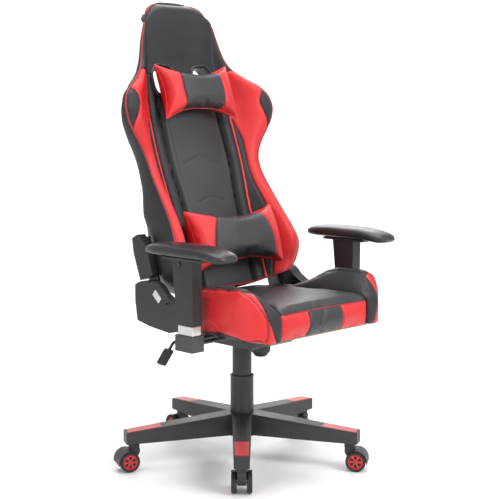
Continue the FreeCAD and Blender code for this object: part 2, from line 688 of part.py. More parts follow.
def seat_bolster(name, side, top):
    """Side cushion: a side outline, a cross-section and a plan, all shared."""
    side_view = side_prism([
        ("-seat_front + 17", "seat_lip_low"), ("-seat_front - 4", "seat_lip_low"),
        ("-seat_front - 5", "seat_lip_low + 30"), ("-seat_front", "bolster_crest - 68"),
        ("-290", "bolster_crest - 42"), ("-270", "bolster_crest - 20"),
        ("-240", "bolster_crest - 3"), ("-200", "bolster_crest"),
        ("-160", "bolster_crest - 1"), ("-110", "bolster_crest - 14"),
        ("-70", "bolster_crest - 37"), ("-20", "bolster_crest - 61"),
        ("30", "seat_top - 3"), ("seat_rear", "seat_rear_top"), ("seat_rear", top),
        ("-seat_front + 17", top)], side, "seat_inner_half + soft_gap", "120")
    inner = "%d * (seat_inner_half + soft_gap)" % side

    def across(distance):
        return "%d * (%s)" % (side, distance)

    section = even_prism("XZ_Plane", [
        (inner, "seat_lip_low - 5"), (across("seat_half - 26"), "seat_lip_low - 5"),
        (across("seat_half - 8"), "pan_low + 20"), (across("seat_half"), "bolster_crest - 70"),
        (across("seat_half - 4"), "bolster_crest - 25"),
        (across("seat_half - 18"), "bolster_crest"),
        (across("seat_half - 42"), "bolster_crest"),
        (across("seat_inner_half + 20"), "seat_top + 20"), (inner, "seat_top - 2")], "800")
    plan = prism("XY_Plane", [
        (across("60"), "-seat_front - 30"), (across("pan_half - 3"), "-seat_front - 5"),
        (across("pan_half + 28"), "-seat_front + 22"), (across("seat_half - 6"), "-250"),
        (across("seat_half"), "-200"), (across("seat_half"), "-100"),
        (across("seat_half - 20"), "-66"), (across("upper_bracket_half - 6"), "-58"),
        (across("upper_bracket_half - 6"), "200"), (across("60"), "200")],
        "300", "400", reverse=False)
    keep(common(side_view, section, plan), "seat_bolster_" + name)


# ------------------------------------------------------------ recliner brackets

def pivot_hole(radius):
    return cylinder(radius, "700", "-350", "recline_behind", "recline_height", axis="X")


def lower_brackets():
    """Steel plates that stand up from the seat pan and carry the recliner pins."""
    brackets = []
    holes = fuse(*bolt_holes())
    for name, side in SIDES:
        plate = side_prism([
            ("-5", "plate_low"), ("recline_behind + 20", "plate_low"),
            ("recline_behind + 32", "recline_height - 12"),
            ("recline_behind + 26", "recline_height + 18"),
            ("recline_behind", "recline_height + 28"),
            ("recline_behind - 26", "recline_height + 18"),
            ("recline_behind - 40", "recline_height - 12")],
            side, "lower_bracket_half", "bracket_thick")
        x0 = "158" if side > 0 else "-lower_bracket_half - 1"
        x1 = "lower_bracket_half + 1" if side > 0 else "-158"
        foot = box(x0, x1, "12", "88", "plate_low", "pan_low")
        brackets.append(cut(fuse(plate, foot), holes, pivot_hole("hinge_pin_radius")))
    group("recliner_lower_brackets", brackets)


def hinge_pins():
    pins = []
    for name, side in SIDES:
        start = "upper_bracket_half - 4" if side > 0 else "-lower_bracket_half - bracket_thick"
        head = "lower_bracket_half + bracket_thick"
        head_x = head if side > 0 else "-(%s) - 4" % head
        run = "lower_bracket_half + bracket_thick - upper_bracket_half + 4"
        shaft = cylinder("hinge_pin_radius", run, start, "recline_behind", "recline_height",
                         axis="X")
        cap = cylinder("hinge_pin_radius + 5", "4", head_x, "recline_behind",
                       "recline_height", axis="X")
        pins.append(fuse(shaft, cap))
    group("hinge_pins", pins)


def cover_outline(inset):
    """Lower part of a recliner cover; the round top is a disc about the pivot."""
    return [("-62 + (%s)" % inset, "plate_low + 19 + (%s)" % inset),
            ("-9", "plate_low + 6 + (%s)" % inset),
            ("recline_behind - 15", "plate_low + 14 + (%s)" % inset),
            ("recline_behind + 34 - (%s)" % inset, "plate_low + 24 + (%s)" % inset),
            ("recline_behind + 42 - (%s)" % inset, "recline_height + 14"),
            ("recline_behind - 52 + (%s)" % inset, "recline_height + 44"),
            ("-30 + (%s)" % inset, "recline_height + 8"),
            ("-58 + (%s)" % inset, "recline_height - 20")]


def side_covers():
    """Plastic shells over the recliner joints, open on the inner side."""
    shells = []
    for name, side in SIDES:
        outer = side_prism(cover_outline("0"), side, "side_cover_half", "side_cover_thick")
        disc_start = "side_cover_half" if side > 0 else "-side_cover_half - side_cover_thick"
        cap = cylinder("side_cover_radius", "side_cover_thick", disc_start, "recline_behind",
                       "recline_height", axis="X")
        slab = side_prism([
            ("recline_behind - 62", "recline_height + 6"), ("recline_behind + 42",
                                                           "recline_height + 6"),
            ("recline_behind + 42", "recline_height + 90"),
            ("recline_behind - 62", "recline_height + 90")],
            side, "side_cover_half - 1", "side_cover_thick + 2")
        inner = side_prism(cover_outline("side_cover_wall"), side, "side_cover_half - 1",
                           "side_cover_thick - side_cover_wall + 1")
        hollow_start = ("side_cover_half - 1" if side > 0
                        else "-side_cover_half - side_cover_thick + side_cover_wall")
        hollow = cylinder("side_cover_radius - side_cover_wall",
                          "side_cover_thick - side_cover_wall + 1", hollow_start,
                          "recline_behind", "recline_height", axis="X")
        inner_slab = side_prism([
            ("recline_behind - 58", "recline_height + 5"), ("recline_behind + 38",
                                                           "recline_height + 5"),
            ("recline_behind + 38", "recline_height + 90"),
            ("recline_behind - 58", "recline_height + 90")],
            side, "side_cover_half - 1", "side_cover_thick + 2")
        shell = cut(fuse(outer, common(cap, slab)), inner, common(hollow, inner_slab))
        shells.append(shell if side > 0 else recline_lever_socket(shell))
    group("side_covers", shells)


def recline_lever():
    """Handle on the sitter's right that frees the backrest."""
    face = "side_cover_half + side_cover_thick"
    y, z = "-recline_lever_ahead", "recline_lever_height"
    arm = side_prism([
        ("%s + 12" % y, "%s + 4" % z), ("%s + 4" % y, "%s + 13" % z),
        ("%s - 12" % y, "%s + 8" % z), ("%s - 50" % y, "%s - 26" % z),
        ("%s - 54" % y, "%s - 38" % z), ("%s - 44" % y, "%s - 44" % z),
        ("%s - 30" % y, "%s - 42" % z), ("%s + 6" % y, "%s - 12" % z)],
        -1, face + " + 0.5", "13")
    pin = cylinder("5", "side_cover_wall + 5", "-(%s) - 2" % face, y, z, axis="X")
    recess = side_prism([
        ("%s - 14" % y, "%s - 6" % z), ("%s - 2" % y, "%s - 21" % z),
        ("%s - 26" % y, "%s - 42" % z), ("%s - 38" % y, "%s - 27" % z)],
        -1, face + " + 10.5", "6")
    keep(cut(fuse(arm, pin), recess), "recline_lever")
    keep(side_prism([
        ("%s - 14.2" % y, "%s - 6.2" % z), ("%s - 2.2" % y, "%s - 20.8" % z),
        ("%s - 25.8" % y, "%s - 41.5" % z), ("%s - 37.8" % y, "%s - 27" % z)],
        -1, face + " + 10.6", "5"), "recline_lever_cap")


def recline_lever_socket(cover):
    """Bearing hole for the lever in the right-hand cover."""
    return cut(cover, cylinder("5 + running", "side_cover_wall + 10",
                               "-side_cover_half - side_cover_thick - 2",
                               "-recline_lever_ahead", "recline_lever_height", axis="X"))


# -------------------------------------------------------------------- armrests

def centred(side, width):
    """X limits of something centred on an armrest."""
    return ("%d * arm_half - (%s) / 2" % (side, width),
            "%d * arm_half + (%s) / 2" % (side, width))


def around(depth):
    """Y limits of something centred on an armrest."""
    return ("-arm_ahead - (%s) / 2" % depth, "-arm_ahead + (%s) / 2" % depth)


def arm_supports():
    brackets = []
    posts = []
    holes = fuse(*bolt_holes())
    for name, side in SIDES:
        socket = box(*centred(side, "socket_width"), *around("socket_depth"), "socket_low",
                     "socket_top")
        bars = []
        for line in arm_bar_lines():
            x0 = "arm_bar_reach" if side > 0 else "-arm_half"
            x1 = "arm_half" if side > 0 else "-arm_bar_reach"
            bars.append(box(x0, x1, "%s - arm_bar_width / 2" % line,
                            "%s + arm_bar_width / 2" % line, "plate_low", "pan_low"))
        pocket = box(*centred(side, "post_width"), *around("post_depth"), "socket_low + 6",
                     "socket_top + 1")
        brackets.append(cut(fuse(socket, *bars), pocket, holes))
        collar = box(*centred(side, "collar_width"), *around("collar_depth"), "socket_top",
                     "collar_top")
        post = box(*centred(side, "post_width"), *around("post_depth"), "socket_low + 6",
                   "post_top")
        posts.append(fuse(collar, post))
    group("arm_brackets", brackets)
    group("arm_posts", posts)


def button_place(side):
    """Where a height button starts, on the outer face of its sleeve."""
    x = "arm_half + sleeve_width / 2 - 9" if side > 0 else "-arm_half - sleeve_width / 2 - 2"
    return x, "-arm_ahead + 20", "button_height"


def arm_sleeve(name, side):
    """Sliding upper part of an armrest, with its button pocket."""
    body = new_body()
    sections = (("sleeve_low", "sleeve_low_depth", "0"), ("sleeve_top", "sleeve_top_depth", "8"))
    sketches = []
    for height, depth, shift in sections:
        x0, x1 = centred(side, "sleeve_width")
        y0, y1 = around(depth)
        corners = [(x0, y0 + " + " + shift), (x1, y0 + " + " + shift),
                   (x1, y1 + " + " + shift), (x0, y1 + " + " + shift)]
        sketches.append(outline(body, "XY_Plane", corners, height))
    loft = body.newObject("PartDesign::AdditiveLoft", "Sleeve")
    loft.Profile = sketches[0]
    loft.Sections = sketches[1:]
    loft.Ruled = True
    bore = box(*centred(side, "post_width + 2 * sliding"),
               *around("post_depth + 2 * sliding"), "sleeve_low - 1", "sleeve_bore_top")
    x, y, z = button_place(side)
    start = x if side > 0 else x + " - 4"
    pocket = cylinder("button_radius + sliding", "15", start, y, z, axis="X")
    pivot = cylinder("pad_pin_radius + running", "pad_pin_depth + 2",
                     "%d * arm_half" % side, "-arm_ahead", "sleeve_top - pad_pin_depth - 0.5")
    keep(cut(body, bore, pocket, pivot), "arm_sleeve_" + name)
    button_start = x + " + 4" if side > 0 else x
    keep(cylinder("button_radius", "7", button_start, y, z, axis="X"), "arm_button_" + name)


def arm_top(name, side):
    low = "sleeve_top + sliding"
    top = low + " + pad_plate_thick"
    plate = box(*centred(side, "pad_plate_width"), *around("pad_plate_depth"), low, top)
    pin = cylinder("pad_pin_radius", "pad_pin_depth + 1", "%d * arm_half" % side, "-arm_ahead",
                   "sleeve_top - pad_pin_depth")
    keep(fuse(plate, pin), "arm_pad_plate_" + name)
    pad_low = top + " + 0.1"
    crown = "sleeve_top + sliding + pad_plate_thick + pad_thick"
    side_view = side_prism([
        ("-pad_front", pad_low), ("-pad_front", pad_low + " + 8"),
        ("-pad_front + 14", pad_low + " + 18"), ("-pad_front + 45", crown + " - 7"),
        ("-pad_front + 95", crown), ("pad_rear - 70", crown),
        ("pad_rear - 26", crown + " - 6"), ("pad_rear - 4", crown + " - 18"),
        ("pad_rear", crown + " - 26"), ("pad_rear", pad_low)],
        side, "arm_half - pad_width / 2", "pad_width")
    x0, x1 = centred(side, "pad_width")
    plan = prism("XY_Plane", [
        (x0 + " + 18", "-pad_front"), (x1 + " - 18", "-pad_front"),
        (x1 + " - 5", "-pad_front + 14"), (x1, "-pad_front + 40"), (x1, "pad_rear - 60"),
        (x1 + " - 9", "pad_rear - 14"), (x1 + " - 22", "pad_rear"),
        (x0 + " + 22", "pad_rear"), (x0 + " + 9", "pad_rear - 14"), (x0, "pad_rear - 60"),
        (x0, "-pad_front + 40"), (x0 + " + 5", "-pad_front + 14")], "500", "300")
    keep(common(side_view, plan), "arm_pad_" + name)


# -------------------------------------------------------------------- backrest

def front_edge():
    """Half widths of the front against height up the lean, from the bottom up."""
    return [
        ("lobe_half - 70", "back_low"), ("lobe_half - 18", "back_low + 32"),
        ("lobe_half - 2", "lobe_up - 30"), ("lobe_half", "lobe_up"),
        ("lobe_half - 10", "lobe_up + 55"), ("waist_half + 6", "waist_up - 100"),
        ("waist_half", "waist_up"), ("waist_half + 7", "waist_up + 52"),
        ("waist_half + 28", "waist_up + 90"), ("shoulder_half - 10", "shoulder_up - 33"),
        ("shoulder_half", "shoulder_up"), ("shoulder_half - 7", "shoulder_up + 32"),
        ("shoulder_half - 33", "shoulder_up + 62"), ("neck_half + 44", "neck_up - 53"),
        ("neck_half + 13", "neck_up - 23"), ("neck_half", "neck_up"),
        ("neck_half - 18", "neck_up + 63"), ("neck_half - 36", "back_top - 50"),
        ("neck_half - 57", "back_top - 18"), ("neck_half - 85", "back_top - 3"),
        ("neck_half - 115", "back_top")]


def rear_edge():
    """Half widths of the rear, which is narrower than the flaring front."""
    return [
        ("rear_lobe_half - 50", "back_low"), ("rear_lobe_half - 10", "back_low + 36"),
        ("rear_lobe_half", "lobe_up + 20"), ("rear_lobe_half - 12", "waist_up - 80"),
        ("rear_waist_half", "waist_up"), ("rear_waist_half", "waist_up + 50"),
        ("rear_shoulder_half - 6", "shoulder_up - 30"),
        ("rear_shoulder_half", "shoulder_up + 10"),
        ("rear_shoulder_half - 4", "shoulder_up + 50"), ("neck_half + 2", "neck_up - 40"),
        ("neck_half - 6", "neck_up + 5")]


def blank_of(edge, inset="0"):
    """A whole outline of the backrest seen square on, as an extruded blank."""
    right = [("%s - (%s)" % (half, inset), up) for half, up in edge]
    left = [("-(%s)" % half, up) for half, up in reversed(right)]
    return even_prism("XZ_Plane", right + left, "500")


def tapered(lower, upper, low, high):
    """Edge of a side view that comes forward above the shoulder blades."""
    return [(lower, low), (lower, "taper_low"), (upper, "taper_high"), (upper, high)]


def layer(front, rear, low, high):
    """Slab between two depths behind the sitting surface."""
    return even_prism("YZ_Plane", [(front, low), (rear, low), (rear, high), (front, high)],
                      "700")


def strap_hole(side, wall):
    """Opening for a pillow strap, with a slanted upper outer corner."""
    wall = "(%s)" % wall

    def across(distance):
        return "%d * (%s)" % (side, distance)

    return even_prism("XZ_Plane", [
        (across("strap_inner + %s" % wall), "strap_low + %s" % wall),
        (across("strap_outer - 8 - %s" % wall), "strap_low + %s" % wall),
        (across("strap_outer - %s" % wall), "strap_low + 20"),
        (across("strap_outer - %s" % wall), "strap_high - 30"),
        (across("strap_outer - 22 - %s / 2" % wall), "strap_high - %s" % wall),
        (across("strap_inner + %s" % wall), "strap_high - 8 - %s" % wall)], "400")


def strap_holes(wall="0"):
    return [strap_hole(side, wall) for name, side in SIDES]


def back_cushion():
    """Centre pad with the headrest, which is as wide as the outline there."""
    head_join = "neck_up + 4"
    profile = even_prism("YZ_Plane", [
        ("0", "back_low"), *tapered("back_foam", "upper_foam", "back_low", head_join),
        ("upper_thick", head_join), ("upper_thick - 2", "neck_up + 60"),
        ("upper_thick - 12", "back_top - 45"), ("upper_thick - 30", "back_top - 14"),
        ("upper_thick - 60", "back_top"), ("-26", "back_top - 3"), ("-42", "back_top - 18"),
        ("-40", "back_top - 45"), ("-30", "back_top - 80"), ("-12", "neck_up + 40"),
        ("0", "neck_up - 10")], "700")
    width = even_prism("XZ_Plane", [
        ("-wing_start + soft_gap", "back_low - 5"), ("wing_start - soft_gap", "back_low - 5"),
        ("wing_start - soft_gap", head_join), ("300", head_join), ("300", "back_top + 5"),
        ("-300", "back_top + 5"), ("-300", head_join), ("-wing_start + soft_gap", head_join)],
        "500")
    pad = common(profile, width, blank_of(front_edge()))
    keep(leaned(cut(pad, *head_chamfers(head_join), *strap_holes())), "back_cushion")


def head_chamfers(low):
    """Cuts that slope the rear of the headrest to its thin edges."""
    blanks = []
    for name, side in SIDES:
        def across(distance):
            return "%d * (%s)" % (side, distance)

        blanks.append(prism("XY_Plane", [
            (across("neck_half"), "-20"), (across("neck_half + 20"), "-20"),
            (across("neck_half + 20"), "60"), (across("neck_half - 75"), "60")],
            low, "back_top - neck_up"))
    return blanks


def back_wings():
    """Side bolsters that stand forward of the sitting surface."""
    for name, side in SIDES:
        def across(distance):
            return "%d * (%s)" % (side, distance)

        section = prism("XY_Plane", [
            (across("wing_start"), "back_foam"), (across("wing_start"), "0"),
            (across("wing_start + 35"), "-14"), (across("wing_start + 60"), "-48"),
            (across("wing_start + 80"), "-70"), (across("wing_start + 105"), "-70"),
            (across("shoulder_half + 5"), "-54"), (across("shoulder_half + 5"), "-30"),
            (across("shoulder_half - 92"), "back_foam")], "back_low",
            "neck_up - back_low + 3.5")
        wing = common(section, wing_side_view(), blank_of(front_edge()))
        keep(leaned(cut(wing, *bracket_bolts(side, "0.3"))), "back_bolster_" + name)


def wing_side_view():
    """Side view of a wing: deep at the hips and shoulders, shallow at the waist."""
    top = "neck_up + 3.5"
    front = [
        ("-18", top), ("-30", "neck_up - 28"), ("-54", "shoulder_up + 62"),
        ("-62", "shoulder_up + 25"), ("-52", "shoulder_up - 30"), ("-28", "waist_up + 85"),
        ("-16", "waist_up + 20"), ("-20", "waist_up - 20"), ("-44", "waist_up - 95"),
        ("-64", "lobe_up + 65"), ("-72", "lobe_up + 10"), ("-66", "lobe_up - 25"),
        ("-34", "back_low")]
    return even_prism("YZ_Plane", front + tapered("back_foam", "upper_foam", "back_low", top),
                      "700")


def back_panel():
    """Rear tray that closes the back behind the frame."""
    top = "neck_up + 3.5"
    front = tapered("back_foam + soft_gap", "upper_foam + soft_gap", "back_low", top)
    rear = tapered("back_thick", "upper_thick", "back_low", top)
    tray = common(even_prism("YZ_Plane", front + rear[::-1], "700"), blank_of(rear_edge()))
    room = common(layer("back_foam", "back_thick - panel_wall", "back_low + 8",
                        "taper_low - 8"), blank_of(rear_edge(), "panel_wall"))
    keep(leaned(cut(tray, room, *bracket_bolts(1, "0.3"), *bracket_bolts(-1, "0.3"),
                    *strap_holes())), "back_panel")


def frame_depth():
    """Depth of the tube of the back frame, behind the sitting surface."""
    return "back_foam + soft_gap + frame_radius + 1.2"


def back_frame():
    """Bent steel tube inside the back, with two cross tubes."""
    half = number("frame_half")
    low = number("back_low") + 62
    high = number("taper_low") - 22
    lift = 46.0
    depth = number(frame_depth())
    corners = [V(-half, depth, low), V(half, depth, low), V(half, depth, high - lift),
               V(half - lift, depth, high), V(-half + lift, depth, high),
               V(-half, depth, high - lift)]
    loop = Part.makePolygon(corners + corners[:1])
    radius = number("frame_radius")
    straight = [Part.makeCylinder(radius, (b - a).Length, a, b - a)
                for a, b in zip(corners, corners[1:] + corners[:1])]
    knees = [Part.makeSphere(radius, corner) for corner in corners]
    rungs = [Part.makeCylinder(radius, 2 * half, V(-half, depth, up), ALONG_X)
             for up in (low + 110, low + 220)]
    tube = straight[0].multiFuse(straight[1:] + knees + rungs).removeSplitter()
    frame = doc.addObject("Part::Feature", "BackFrame")
    frame.Shape = tube
    bolts = bracket_bolts(1, "0") + bracket_bolts(-1, "0")
    keep(leaned(cut(frame, *bolts)), "back_frame")


def pivot_in_back():
    """Recliner pivot in the frame that leans with the back: depth, height."""
    lean = math.radians(number("lean_angle"))
    y = number("recline_behind") + number("lean_foot")
    z = number("recline_height")
    depth = y * math.cos(lean) - z * math.sin(lean)
    up = y * math.sin(lean) + z * math.cos(lean)
    return depth, up


BRACKET_BOLT_UPS = ("back_low + 84", "back_low + 150")


def bracket_bolts(side, clearance):
    """Spacer bolts from the back frame out to the upper bracket."""
    bolts = []
    run = "upper_bracket_half + bracket_thick - frame_half"
    start = "frame_half" if side > 0 else "-upper_bracket_half - bracket_thick"
    for up in BRACKET_BOLT_UPS:
        bolts.append(cylinder("4.5 + (%s)" % clearance, run, start, frame_depth(), up,
                              axis="X"))
    return bolts


def back_bolts():
    heads = []
    for name, side in SIDES:
        outer = "upper_bracket_half + bracket_thick"
        for bolt, up in zip(bracket_bolts(side, "0"), BRACKET_BOLT_UPS):
            start = outer if side > 0 else "-(%s) - 3" % outer
            head = cylinder("8", "3", start, frame_depth(), up, axis="X")
            heads.append(leaned(fuse(bolt, head)))
    group("back_bolts", heads)


def upper_brackets():
    """Steel plates bolted to the back frame, swinging on the recliner pins."""
    depth, up = pivot_in_back()
    plates = []
    for name, side in SIDES:
        plate = side_prism([
            ("%.3f - bracket_width / 2" % depth, "%.3f" % up),
            ("%.3f - bracket_width / 2" % depth, "%.3f + bracket_length" % up),
            ("%.3f + bracket_width / 2" % depth, "%.3f + bracket_length" % up),
            ("%.3f + bracket_width / 2" % depth, "%.3f" % up)],
            side, "upper_bracket_half", "bracket_thick")
        start = "upper_bracket_half" if side > 0 else "-upper_bracket_half - bracket_thick"
        ring = cylinder("bracket_width / 2 + 4", "bracket_thick", start, "%.3f" % depth,
                        "%.3f" % up, axis="X")
        hole = cylinder("hinge_pin_radius + running", "bracket_thick + 2", start + " - 1",
                        "%.3f" % depth, "%.3f" % up, axis="X")
        plates.append(leaned(cut(fuse(plate, ring), hole, *bracket_bolts(side, "0"))))
    group("recliner_upper_brackets", plates)


def bracket_covers():
    """Narrow plastic covers over the upper brackets; they move with the back."""
    depth, up = pivot_in_back()
    covers = []
    for name, side in SIDES:
        near = "upper_bracket_half + bracket_thick + 0.3"
        blank = side_prism([
            ("%.3f - 30" % depth, "%.3f + side_cover_radius + 6" % up),
            ("%.3f + 23" % depth, "%.3f + side_cover_radius + 6" % up),
            ("%.3f + 25" % depth, "%.3f + 150" % up),
            ("%.3f + 18" % depth, "%.3f + bracket_length + 6" % up),
            ("%.3f - 6" % depth, "%.3f + bracket_length + 10" % up),
            ("%.3f - 28" % depth, "%.3f + 160" % up)], side, near, "back_cover_thick")
        hollow = side_prism([
            ("%.3f - 24" % depth, "%.3f + side_cover_radius + 10" % up),
            ("%.3f + 19" % depth, "%.3f + side_cover_radius + 10" % up),
            ("%.3f + 20" % depth, "%.3f + 148" % up),
            ("%.3f + 14" % depth, "%.3f + bracket_length" % up),
            ("%.3f - 6" % depth, "%.3f + bracket_length + 2" % up),
            ("%.3f - 22" % depth, "%.3f + 156" % up)],
            side, "upper_bracket_half + bracket_thick", "back_cover_thick - 2.7")
        covers.append(leaned(cut(blank, hollow)))
    group("bracket_covers", covers)


def strap_trims():
    """Moulded frames that line the two strap openings."""
    trims = []
    for blank, hole in zip(strap_holes("0.1"), strap_holes("trim_wall")):
        ring = cut(common(blank, layer("0.3", "upper_foam - 1", "strap_low - 5",
                                       "strap_high + 5")), hole)
        trims.append(leaned(ring))
    group("strap_trims", trims)


# --------------------------------------------------------------------- pillows

def pillow(label, half, low, high, thick, flare):
    """Stuffed pillow in front of the sitting surface: plan, front and side outlines."""
    middle = "((%s) + (%s)) / 2" % (low, high)
    front = even_prism("XZ_Plane", [
        ("-(%s)" % half, low), ("-(%s) * 0.45" % half, "(%s) + (%s)" % (low, flare)),
        ("(%s) * 0.45" % half, "(%s) + (%s)" % (low, flare)), (half, low),
        ("(%s) - 6" % half, middle), (half, high),
        ("(%s) * 0.45" % half, "(%s) - (%s)" % (high, flare)),
        ("-(%s) * 0.45" % half, "(%s) - (%s)" % (high, flare)), ("-(%s)" % half, high),
        ("-(%s) + 6" % half, middle)], "500")
    side = even_prism("YZ_Plane", [
        ("-pillow_gap", "(%s) + 26" % low), ("-pillow_gap", "(%s) - 34" % high),
        ("-(%s) * 0.3" % thick, high), ("-(%s) * 0.62" % thick, high),
        ("-(%s)" % thick, "(%s) - 40" % high), ("-(%s)" % thick, "(%s) + 36" % low),
        ("-(%s) * 0.62" % thick, low), ("-(%s) * 0.3" % thick, low)], "700")
    plan = prism("XY_Plane", [
        ("-(%s) + 52" % half, "-pillow_gap"), ("(%s) - 52" % half, "-pillow_gap"),
        ("(%s) - 14" % half, "-18"), (half, "-34"), (half, "-(%s) * 0.62" % thick),
        ("(%s) - 30" % half, "-(%s)" % thick), ("-(%s) + 30" % half, "-(%s)" % thick),
        ("-(%s)" % half, "-(%s) * 0.62" % thick), ("-(%s)" % half, "-34"),
        ("-(%s) + 14" % half, "-18")], low, "(%s) - (%s)" % (high, low))
    keep(leaned(common(front, side, plan)), label)


# -------------------------------------------------------------------- assembly

def build():
    star_base()
    leg_inserts()
    caster_stems()
    casters()
    gas_lift()
    dust_covers()
    mechanism()
    release_lever()
    seat_structure()
    seat_upholstery()
    lower_brackets()
    hinge_pins()
    side_covers()
    recline_lever()
    arm_supports()
    for name, side in SIDES:
        arm_sleeve(name, side)
        arm_top(name, side)
    back_cushion()
    back_wings()
    back_panel()
    back_frame()
    upper_brackets()
    back_bolts()
    bracket_covers()
    strap_trims()
    pillow("neck_pillow", "neck_pillow_half", "neck_pillow_low", "neck_pillow_high",
           "neck_pillow_thick", "13")
    pillow("lumbar_pillow", "lumbar_half", "lumbar_low", "lumbar_high", "lumbar_thick", "8")


def check_and_write():
    doc.recompute()
    failed = [thing.Label for thing in doc.Objects
              if "Invalid" in thing.State or "Error" in thing.State]
    if failed:
        raise RuntimeError("objects that failed: " + ", ".join(failed))
    for piece in subparts:
        if piece.Shape.isNull() or not piece.Shape.isValid() or not piece.Shape.Solids:
            raise RuntimeError("bad shape: " + piece.Label)
    os.makedirs("parts", exist_ok=True)
    for piece in subparts:
        piece.Shape.exportStep("parts/%s.step" % piece.Label)
        print("%-26s solids %d  volume %.1f cm3" % (
            piece.Label, len(piece.Shape.Solids), piece.Shape.Volume / 1000))


build()
check_and_write()
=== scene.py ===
import json
import math

import bmesh
import bpy
import numpy as np
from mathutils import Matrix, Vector, kdtree
from mathutils.bvhtree import BVHTree

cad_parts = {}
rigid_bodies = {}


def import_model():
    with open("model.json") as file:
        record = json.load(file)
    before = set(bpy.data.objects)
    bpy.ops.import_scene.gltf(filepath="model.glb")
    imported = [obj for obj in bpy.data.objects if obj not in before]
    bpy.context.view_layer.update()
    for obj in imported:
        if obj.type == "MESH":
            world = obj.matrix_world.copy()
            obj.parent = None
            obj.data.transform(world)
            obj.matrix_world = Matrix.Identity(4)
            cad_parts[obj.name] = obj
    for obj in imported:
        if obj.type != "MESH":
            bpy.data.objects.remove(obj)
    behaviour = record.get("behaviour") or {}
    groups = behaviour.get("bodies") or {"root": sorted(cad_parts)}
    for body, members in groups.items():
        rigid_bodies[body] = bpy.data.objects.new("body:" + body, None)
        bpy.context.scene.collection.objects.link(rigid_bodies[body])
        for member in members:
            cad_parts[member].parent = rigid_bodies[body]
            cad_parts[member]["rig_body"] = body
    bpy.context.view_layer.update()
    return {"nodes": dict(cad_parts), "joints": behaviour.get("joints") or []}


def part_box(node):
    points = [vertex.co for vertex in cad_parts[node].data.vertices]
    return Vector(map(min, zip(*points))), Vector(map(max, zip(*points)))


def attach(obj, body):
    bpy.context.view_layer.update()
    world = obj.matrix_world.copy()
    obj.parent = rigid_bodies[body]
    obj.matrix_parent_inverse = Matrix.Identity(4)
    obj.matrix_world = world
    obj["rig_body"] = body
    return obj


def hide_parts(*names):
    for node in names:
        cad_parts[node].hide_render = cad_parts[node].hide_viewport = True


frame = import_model()

LEAN = math.radians(19)
LEAN_FOOT = 0.1296
SIDES = (("right", -1), ("left", 1))


# ------------------------------------------------------------------ numbers and curves

def smooth_curve(knots):
    """Function through knots (place, value) that never overshoots them."""
    t = np.array([k[0] for k in knots], float)
    v = np.array([k[1] for k in knots], float)
    slope = np.diff(v) / np.diff(t)
    m = np.zeros_like(v)
    m[0], m[-1] = slope[0], slope[-1]
    for i in range(1, len(v) - 1):
        a, b = slope[i - 1], slope[i]
        m[i] = 0.0 if a * b <= 0 else 2 * a * b / (a + b)

    def at(q):
        q = np.clip(np.asarray(q, float), t[0], t[-1])
        i = np.clip(np.searchsorted(t, q) - 1, 0, len(t) - 2)
        h = t[i + 1] - t[i]
        u = (q - t[i]) / h
        return ((2 * u**3 - 3 * u**2 + 1) * v[i] + (u**3 - 2 * u**2 + u) * h * m[i]
                + (3 * u**2 - 2 * u**3) * v[i + 1] + (u**3 - u**2) * h * m[i + 1])

    return at


def ease(u):
    u = np.clip(u, 0, 1)
    return u * u * (3 - 2 * u)


def bump(distance, width):
    return np.exp(-(distance / width) ** 2)


def leaned(points):
    """Back frame (across, depth, up the lean) to the row frame."""
    p = np.asarray(points, float)
    x, d, s = p[..., 0], p[..., 1], p[..., 2]
    return np.stack([x, -LEAN_FOOT + s * math.sin(LEAN) + d * math.cos(LEAN),
                     s * math.cos(LEAN) - d * math.sin(LEAN)], -1)


def polygon_distance(points, corners, rounding):
    """Signed distance to a rounded polygon; corners are given already inset."""
    p = np.asarray(points, float)
    best = np.full(len(p), 1e9)
    inside = np.zeros(len(p), bool)
    for a, b in zip(corners, corners[1:] + corners[:1]):
        a, b = np.array(a), np.array(b)
        e, w = b - a, p - a
        along = np.clip((w @ e) / (e @ e), 0, 1)
        best = np.minimum(best, np.linalg.norm(w - along[:, None] * e, axis=1))
        crosses = (a[1] > p[:, 1]) != (b[1] > p[:, 1])
        with np.errstate(divide="ignore", invalid="ignore"):
            at = (b[0] - a[0]) * (p[:, 1] - a[1]) / (b[1] - a[1]) + a[0]
        inside ^= crosses & (p[:, 0] < at)
    return np.where(inside, -best, best) - rounding


# ------------------------------------------------------------------------- materials

def new_material(name):
    mat = bpy.data.materials.new(name)
    mat.use_nodes = True
    return mat, mat.node_tree, mat.node_tree.nodes["Principled BSDF"]


def node(tree, kind, **settings):
    made = tree.nodes.new(kind)
    for key, value in settings.items():
        if key in made.inputs:
            made.inputs[key].default_value = value
        else:
            setattr(made, key, value)
    return made


def ramp(tree, source, stops):
    made = tree.nodes.new("ShaderNodeValToRGB")
    elements = made.color_ramp.elements
    while len(elements) < len(stops):
        elements.new(0.5)
    for element, (place, value) in zip(elements, stops):
        element.position = place
        element.color = (value, value, value, 1)
    tree.links.new(source, made.inputs["Fac"])
    return made.outputs["Color"]


def mixed_colour(tree, fac, a, b):
    made = tree.nodes.new("ShaderNodeMix")
    made.data_type = "RGBA"
    tree.links.new(fac, made.inputs["Factor"])
    for socket, value in ((made.inputs[6], a), (made.inputs[7], b)):
        if isinstance(value, tuple):
            socket.default_value = (*value, 1)
        else:
            tree.links.new(value, socket)
    return made.outputs[2]


def added(tree, a, b, share):
    made = node(tree, "ShaderNodeMath", operation="MULTIPLY_ADD")
    tree.links.new(b, made.inputs[0])
    made.inputs[1].default_value = share
    tree.links.new(a, made.inputs[2])
    return made.outputs[0]


